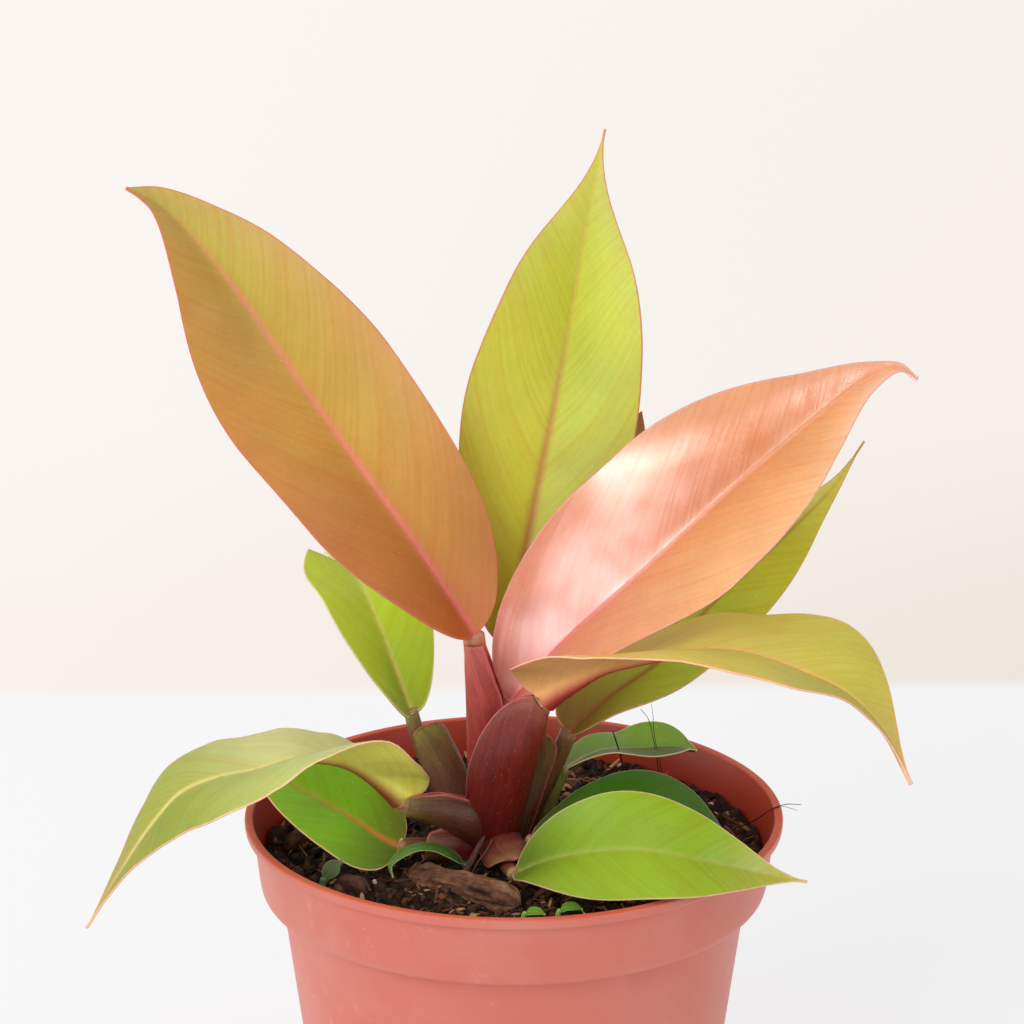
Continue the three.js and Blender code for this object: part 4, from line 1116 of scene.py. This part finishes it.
# Loose bits: how many, their half sizes, how far they lean, how uneven they are and how far their
# middles lie above the soil, as a share of their half height
BITS = {
    "soil_crumbs": dict(
        count=1500, sizes=[(0.5, 1.5), (0.4, 1.2), (0.3, 1)], lean=0.7, uneven=0.45, proud=0.3,
        skin="earth", slot="potting_mix",
        colours=[(52, 34, 26), (78, 48, 34), (38, 25, 20), (104, 64, 44)]),
    "bark_flakes": dict(
        count=640, sizes=[(0.8, 2.9), (0.25, 0.8), (0.12, 0.4)], lean=0.45, uneven=0.4, proud=0.9,
        skin="bits", slot="bark",
        colours=[(176, 108, 62), (206, 146, 92), (140, 78, 48), (226, 178, 124), (112, 66, 46)]),
    "perlite": dict(
        count=16, sizes=[(0.5, 0.9), (0.5, 0.9), (0.5, 0.8)], lean=1, uneven=0.35, proud=0.5,
        skin="perlite", slot="potting_mix", colours=[(232, 230, 222), (220, 216, 206)]),
}
FIBRES = 220
FIBRE_STEPS = 10
FIBRE_COLOURS = [(156, 98, 60), (110, 66, 44), (190, 134, 86), (70, 46, 36)]
# Dark root hairs that stand out of the soil, and a thin twig: radius and path
HAIRS = [
    (0.28, [[24, 16, 92], [25, 14, 100], [24.2, 12.5, 107.5], [23, 12, 112], [22.2, 12, 114.5]]),
    (0.13, [[34, 22, 92], [33, 20, 101], [31.6, 18, 110], [30.4, 18, 115], [28.6, 18, 117.5]]),
    (0.1, [[35, 22, 92], [33.5, 20, 102], [31.8, 18.5, 111], [31.4, 18, 116], [31, 17.8, 119]]),
    (0.16, [[50, 8, 92.5], [54.5, 4, 96.5], [57.5, 2, 99.6], [60.6, 0.6, 101.4], [64, 0, 101.6]]),
    (0.1, [[50, 8, 92.5], [54.3, 4.2, 96.2], [57.4, 2.3, 99.3], [60.2, 1.2, 100.6], [63.4, 1.4, 99.6]]),
]
HAIR_COLOUR = (30, 20, 18)
THIN_TWIG = (0.22, [[-4.6, -13.6, 99], [-6, -15.8, 97.2], [-8, -18, 95.2], [-9.6, -19.8, 92.6]])
THIN_TWIG_COLOUR = (120, 84, 64)


def soil_base(x, y):
    """Height of the solid's lumpy top."""
    slow = np.sin(0.21 * x + 0.13 * y) * np.cos(0.17 * y - 0.09 * x)
    quick = np.sin(0.47 * x - 1.1) * np.sin(0.52 * y + 0.6)
    return SOIL_LEVEL + SOIL_LUMP * (0.6 * slow + 0.4 * quick)


def soil_height(x, y):
    """Height of the loose top of the soil, with its crumbs and hollows."""
    p = np.stack([x, y, np.zeros_like(x)], -1)
    lumps = fractal(p, 7, 2, 3) * 0.7
    crumbs = np.abs(fractal(p, 3.2, 4, 9)) * 1.5 - 0.7
    return soil_base(x, y) + lumps + crumbs


def disc_grid(count, radius):
    """Square grid of points spread evenly over a disc."""
    a = np.linspace(-1, 1, count + 1)
    x, y = np.meshgrid(a, a, indexing="ij")
    wide = np.abs(x) > np.abs(y)
    safe = np.where(np.where(wide, x, y) == 0, 1, np.where(wide, x, y))
    angle = np.where(wide, np.pi / 4 * y / safe, np.pi / 2 - np.pi / 4 * x / safe)
    r = np.where(wide, x, y) * radius
    return np.stack([r * np.cos(angle), r * np.sin(angle)], -1)


def soil_sides():
    """Radius and height of the corners down the inside of the pot."""
    inset = POT_WALL + 0.3
    return [(CREASE_RADIUS - inset, CREASE_Z), (COLLAR_LOW_RADIUS - inset, SHOULDER_Z + inset),
            (WALL_TOP_RADIUS - inset, SHOULDER_Z - 1 + inset), (BASE_RADIUS - inset, inset)]


def make_soil():
    """Filled body of soil with a crumbly top."""
    xy = disc_grid(SOIL_GRID, SOIL_RADIUS)
    top = np.dstack([xy, soil_height(xy[..., 0], xy[..., 1])]).reshape(-1, 3)
    faces = grid_faces(SOIL_GRID + 1, SOIL_GRID + 1, flip=True)
    index = np.arange(len(top)).reshape(SOIL_GRID + 1, SOIL_GRID + 1)
    rim = np.concatenate([index[0, :-1], index[:-1, -1], index[-1, :0:-1], index[:0:-1, 0]])
    points, previous = [top], rim
    for k, (radius, height) in enumerate(soil_sides()):
        share = radius / SOIL_RADIUS
        points.append(top[rim] * [share, share, 0] + [0, 0, height])
        current = len(top) + k * len(rim) + np.arange(len(rim))
        faces += np.stack([np.roll(previous, -1), np.roll(current, -1), current, previous], -1).tolist()
        previous = current
    faces.append(previous.tolist())
    points = np.concatenate(points)
    fleck = step(0.25, 0.75, fractal(points, 2.4, 3, 21)) * 0.6
    # Points below the soil's level, in its hollows and down its sides, are painted up to 55 % darker as
    # shade.
    hollow = step(SOIL_LEVEL + 0.4, SOIL_LEVEL - 1.2, points[:, 2])
    dark, brown = linear((SOIL_DARK, SOIL_BROWN))
    tint = (dark + (brown - dark) * fleck[:, None]) * (1 - 0.55 * hollow)[:, None]
    place(make_object("potting_mix", points, faces, skins["earth"], {"tint": tint}), "potting_mix", "soil")


def bark_mesh(part, seed, sides=64, per_segment=26):
    """Rod with furrows along it and broken ends."""
    f = tube_frames(part["sections"], per_segment)
    angle = np.linspace(0, 2 * np.pi, sides, endpoint=False)
    close = np.sqrt(np.clip(1 - np.abs(2 * f["s"][:, None] - 1) ** 9, 0.02, 1))
    radius = f["sizes"].mean(1)[:, None]
    shape = (len(radius), sides)
    flow = np.stack([np.cos(angle) * radius, np.sin(angle) * radius,
                     np.broadcast_to(f["down"][:, None] * 0.16, shape)], -1)
    furrow = fractal(flow, part["grain"], 4, seed)
    w, d = (f["sizes"].T[..., None] + furrow * part["furrow"]) * close
    jag = noise(flow, 0.9, seed + 4) * (1 - close) * 1.6
    rings = oval_rings(f, w, d, angle) + f["along"][:, None, :] * jag[..., None]
    middle, high, low = linear(part["colours"])
    tint = middle + (high - middle) * step(0.1, 0.9, furrow)[..., None]
    tint = tint + (low - tint) * step(-0.1, -0.8, furrow)[..., None]
    layers = {"tint": tint.reshape(-1, 3), "around": spread(angle * radius, shape),
              "down": spread(f["down"][:, None], shape)}
    return *closed_tube(rings), {key: with_ends(values) for key, values in layers.items()}


def make_bark():
    for seed, (name, part) in enumerate(BARK.items()):
        points, faces, layers = bark_mesh(part, seed)
        place(make_object(f"{name}_piece", points, faces, skins["bark"], layers), "bark", name)


def lump_shape():
    """Points and faces of a small round lump."""
    lat, lon = 5, 8
    points = [[0, 0, 1]]
    for i in range(1, lat):
        polar = math.pi * i / lat
        for j in range(lon):
            turn = 2 * math.pi * (j + 0.5 * (i % 2)) / lon
            across = math.sin(polar)
            points.append([across * math.cos(turn), across * math.sin(turn), math.cos(polar)])
    points.append([0, 0, -1])
    faces = [[0, 1 + j, 1 + (j + 1) % lon] for j in range(lon)]
    for i in range(lat - 2):
        a = 1 + i * lon
        faces += [[a + j, a + lon + j, a + lon + (j + 1) % lon, a + (j + 1) % lon] for j in range(lon)]
    a = 1 + (lat - 2) * lon
    faces += [[a + j, len(points) - 1, a + (j + 1) % lon] for j in range(lon)]
    return np.array(points), faces


def turned(count, rng, lean):
    """Random turns; a small lean keeps the long axis near level."""
    spin = rng.uniform(0, 2 * np.pi, count)
    tilt, roll = rng.normal(0, lean, count), rng.normal(0, lean, count)
    x = np.stack([np.cos(spin) * np.cos(tilt), np.sin(spin) * np.cos(tilt), np.sin(tilt)], -1)
    side = np.stack([-np.sin(spin), np.cos(spin), np.zeros(count)], -1)
    y = side * np.cos(roll)[:, None] + np.cross(x, side) * np.sin(roll)[:, None]
    return np.stack([x, y, np.cross(x, y)], 1)


def scattered(count, rng, reach=LOOSE_RADIUS):
    """Places spread evenly over the soil."""
    radius = reach * np.sqrt(rng.uniform(0, 1, count))
    turn = rng.uniform(0, 2 * np.pi, count)
    return radius * np.cos(turn), radius * np.sin(turn)


def make_bits(name, kind, rng):
    """Many small lumps merged into one piece: crumbs, flakes or beads."""
    shape, faces = lump_shape()
    count = kind["count"]
    x, y = scattered(count, rng)
    scale = np.stack([rng.uniform(*sizes, count) for sizes in kind["sizes"]], -1)
    scale *= rng.choice([0.6, 0.8, 1.0, 1.3], count, p=[0.3, 0.3, 0.3, 0.1])[:, None]
    z = soil_height(x, y) + scale[:, 2] * kind["proud"]
    shift = rng.uniform(-50, 50, (count, 1, 3))
    rough = 1 + kind["uneven"] * noise(shape * 1.3 + shift, 1.0, SEED)
    local = shape * rough[..., None] * scale[:, None, :]
    points = np.einsum("nkj,nji->nki", local, turned(count, rng, kind["lean"]))
    points, faces = merged([(p + at, faces) for p, at in zip(points, np.stack([x, y, z], -1))])
    tint = linear(kind["colours"])[rng.integers(0, len(kind["colours"]), count)]
    tint = np.repeat(tint * rng.uniform(0.6, 1.25, (count, 1)), len(shape), axis=0)
    made = make_object(name, points, faces, skins[kind["skin"]], {"tint": tint}, smooth=False)
    place(made, kind["slot"])


def strand(path, radius, sides=5):
    """Thin round fibre along a path of points."""
    path = np.asarray(path, float)
    along = unit(np.gradient(path, axis=0))
    side = unit(np.cross(along, [0.13, 0.29, 0.95]))
    up = np.cross(along, side)
    angle = np.linspace(0, 2 * np.pi, sides, endpoint=False)[:, None]
    taper = np.linspace(1, 0.45, len(path))[:, None, None] * radius
    rings = path[:, None] + taper * (side[:, None] * np.cos(angle) + up[:, None] * np.sin(angle))
    last = (len(path) - 1) * sides
    faces = grid_faces(len(path), sides, wrap=True)
    faces += [list(range(sides))[::-1], list(range(last, last + sides))]
    return rings.reshape(-1, 3), faces


def place_strands(name, strands, colours):
    """One piece of many strands, each in its own colour."""
    points, faces = merged(strands)
    tint = np.repeat(colours, [len(p) for p, _ in strands], axis=0)
    place(make_object(name, points, faces, skins["bits"], {"tint": tint}), "potting_mix")


def wandering(rng):
    """Places on the soil along a loose curve."""
    x, y = (float(v[0]) for v in scattered(1, rng, SOIL_RADIUS - 5))
    heading, bend = rng.uniform(0, 2 * np.pi), rng.normal(0, 0.16)
    length = rng.uniform(3, 11) / FIBRE_STEPS
    path = []
    for _ in range(FIBRE_STEPS):
        heading += bend
        x += math.cos(heading) * length
        y += math.sin(heading) * length
        path.append([x, y])
    return np.array(path)


def make_fibres(rng):
    """Thin roots and fibres lying in loose curves on the soil."""
    strands, colours = [], []
    for _ in range(FIBRES):
        path = wandering(rng)
        if np.hypot(*path.T).max() > LOOSE_RADIUS:
            continue
        z = soil_height(*path.T)
        arch = np.sin(np.linspace(0, np.pi, FIBRE_STEPS)) * rng.uniform(0.1, 1.1)
        z = np.maximum(z, z.mean()) * 0.5 + z * 0.5 + 0.1 + arch
        strands.append(strand(np.column_stack([path, z]), rng.uniform(0.1, 0.4)))
        colours.append(linear(FIBRE_COLOURS)[rng.integers(0, len(FIBRE_COLOURS))])
    place_strands("soil_fibres", strands, colours)


def make_hairs():
    strands = [strand(spline(path, 8), radius) for radius, path in [*HAIRS, THIN_TWIG]]
    place_strands("root_hairs", strands, linear([HAIR_COLOUR] * len(HAIRS) + [THIN_TWIG_COLOUR]))


# ---------------------------------------------------------------- stage, light and camera
ROOM_COLOUR = (1.0, 0.985, 0.97, 1)
ROOM_LIGHT = 0.75
ROOM_GLOSS = 0.33
# Where each light is, where it aims and its size in metres, and its power in watts
LIGHTS = {
    "key_softbox": dict(spot=(-0.85, -1.25, 1.0), target=(0, 0, 0.13), size=(0.9, 0.9), power=10,
                        colour=(1.0, 0.985, 0.96)),
    "left_softbox": dict(spot=(-1.3, 0.1, 0.7), target=(0, 0, 0.1), size=(0.9, 0.9), power=4,
                         colour=(1.0, 0.99, 0.98)),
    "side_gloss_card": dict(spot=(0.9, -0.85, 0.55), target=(0.04, -0.04, 0.1), size=(0.34, 0.34),
                            power=3),
    "low_gloss_card": dict(spot=(0.068, -0.172, 0.03), target=(0.045, 0, 0.17), size=(0.15, 0.115),
                           power=1.9),
    "shade_fill": dict(spot=(0, -0.8, 1.1), target=(0, 0, 0.12), size=(0.6, 0.6), power=9),
}
# Leaves that others shade, which the fill lights as if nothing stood in its way
SHADED = ["blade_front_right_arching", "blade_front_left_arching", "blade_green_right", "blade_green_left",
          "blade_low_left", "blade_back_right", "blade_dry_tipped_back"]
CAMERA_PLACE = (-0.0004, -0.8815, 0.4630)
CAMERA_TILT = 71.63
CAMERA_LENS = 150
CAMERA_SENSOR = 36
FLOOR_REACH = 6.0
FLOOR_PALE = (0.45, 0.45, 0.45, 1)
FLOOR_GLOW_LEFT = (0.5, 0.505, 0.525, 1)
FLOOR_GLOW_RIGHT = (0.51, 0.51, 0.52, 1)
WALL_FOOT = 0.340
WALL_FOOT_SLOPE = -0.03
WALL_MIDDLE = 0.62
WALL_TOP = 1.9
# The wall's colours at the left and right, with the places across between which they change; the wall glows
# them, and they hold painted light and shade, darker to the right and at its foot.
WALL_COLOURS = [
    ((249, 242, 235), (236, 226, 217), -0.15, 0.2),
    ((251, 246, 242), (246, 238, 232), -0.2, 0.25),
    ((251, 246, 243), (248, 243, 240), -0.3, 0.35),
]


def make_stage():
    """One wide pale floor, near white round the pot, and beyond a soft line a glowing cream wall with
    painted light and shade, darker to the right and at its foot.
    """
    m = Finish("backdrop", Roughness=0.9, Specular_IOR_Level=0.0, Emission_Strength=1.0)
    split = m.nodes.new("ShaderNodeSeparateXYZ")
    m.put(split.inputs["Vector"], m.nodes.new("ShaderNodeTexCoord").outputs["Object"])
    x, y = split.outputs["X"], split.outputs["Y"]
    depth = m.math("ADD", y, m.times(x, WALL_FOOT_SLOPE))
    foot, middle, top = (m.mix(m.span(x, low, high), rgba(left), rgba(right))
                         for left, right, low, high in WALL_COLOURS)
    wall = m.mix(m.span(depth, WALL_FOOT, WALL_MIDDLE), foot, middle)
    wall = m.mix(m.span(depth, WALL_MIDDLE, WALL_TOP), wall, top)
    glow = m.mix(m.span(x, -0.15, 0.2), FLOOR_GLOW_LEFT, FLOOR_GLOW_RIGHT)
    beyond = m.span(depth, WALL_FOOT - 0.004, WALL_FOOT + 0.006)
    m.finish("Base Color", m.mix(beyond, FLOOR_PALE, (0, 0, 0, 1)))
    m.finish("Emission Color", m.mix(beyond, glow, wall))
    corners = np.array([[-1, -1, 0], [1, -1, 0], [1, 1, 0], [-1, 1, 0]]) * FLOOR_REACH / MM
    make_object("backdrop_floor", corners, [[0, 1, 2, 3]], m.material, smooth=False)


def area_light(name, spot, target, size, power, colour=(1, 1, 1)):
    """Flat square light that faces its target."""
    data = bpy.data.lights.new(name, "AREA")
    data.shape = "RECTANGLE"
    data.size, data.size_y = size
    data.energy = power
    data.color = colour
    light = bpy.data.objects.new(name, data)
    light.location = spot
    aim = np.subtract(target, spot)
    yaw = math.atan2(aim[1], aim[0]) - math.pi / 2
    pitch = math.atan2(aim[2], math.hypot(aim[0], aim[1])) + math.pi / 2
    light.rotation_euler = (pitch, 0, yaw)
    bpy.context.scene.collection.objects.link(light)
    return light


def link_light(light, lit, blockers):
    """Let a light reach only some pieces, and only some hold it back."""
    groups = []
    for kind, names in (("lit", lit), ("blockers", blockers)):
        group = bpy.data.collections.new(f"{light.name}_{kind}")
        for name in names:
            group.objects.link(bpy.data.objects[name])
        groups.append(group)
    light.light_linking.receiver_collection, light.light_linking.blocker_collection = groups


def make_world():
    """An even pale room, which glossy skins mirror more weakly than it lights them."""
    world = bpy.data.worlds.new("studio")
    bpy.context.scene.world = world
    world.use_nodes = True
    nodes, links = world.node_tree.nodes, world.node_tree.links
    background = nodes["Background"]
    background.inputs["Color"].default_value = ROOM_COLOUR
    rays = nodes.new("ShaderNodeLightPath")
    strength = nodes.new("ShaderNodeMapRange")
    links.new(rays.outputs["Is Glossy Ray"], strength.inputs["Value"])
    strength.inputs["To Min"].default_value = ROOM_LIGHT
    strength.inputs["To Max"].default_value = ROOM_GLOSS
    links.new(strength.outputs["Result"], background.inputs["Strength"])


def make_light():
    """Soft light from the left and the front, cards seen only as gloss, and a fill for shaded leaves."""
    lights = {name: area_light(name, **values) for name, values in LIGHTS.items()}
    for name in ("side_gloss_card", "low_gloss_card"):
        lights[name].visible_diffuse = False
        lights[name].visible_transmission = False
    lights["low_gloss_card"].visible_camera = False
    lights["shade_fill"].visible_glossy = False
    link_light(lights["low_gloss_card"], ["blade_orange_right"], ["blade_tall_left"])
    link_light(lights["shade_fill"], SHADED, ["backdrop_floor"])


def make_camera():
    data = bpy.data.cameras.new("camera")
    data.lens = CAMERA_LENS
    data.sensor_width = CAMERA_SENSOR
    data.clip_start, data.clip_end = 0.05, 30
    camera = bpy.data.objects.new("camera", data)
    camera.location = CAMERA_PLACE
    camera.rotation_euler = (math.radians(CAMERA_TILT), 0, 0)
    bpy.context.scene.collection.objects.link(camera)
    bpy.context.scene.camera = camera


skins = {
    "stalk": stalk_material("stalk_skin"),
    "pot": pot_material("pot_plastic"),
    "earth": earth_material("potting_mix"),
    "bark": bark_material("weathered_bark"),
    "bits": bits_material("loose_bits", 0.7),
    "perlite": bits_material("perlite_bead", 0.9),
}

for leaf_name, leaf_values in LEAVES.items():
    make_blade(leaf_name, leaf_values)
for stalk_name, stalk_values in STALKS.items():
    make_stalk(stalk_name, stalk_values)
make_stem()
make_pot()
make_soil()
make_bark()

random = np.random.default_rng(SEED)
for bits_name, bits_kind in BITS.items():
    make_bits(bits_name, bits_kind, random)
make_fibres(random)
make_hairs()

make_stage()
make_world()
make_light()
make_camera()
view = bpy.context.scene.view_settings
view.view_transform = "Standard"
view.look = "None"
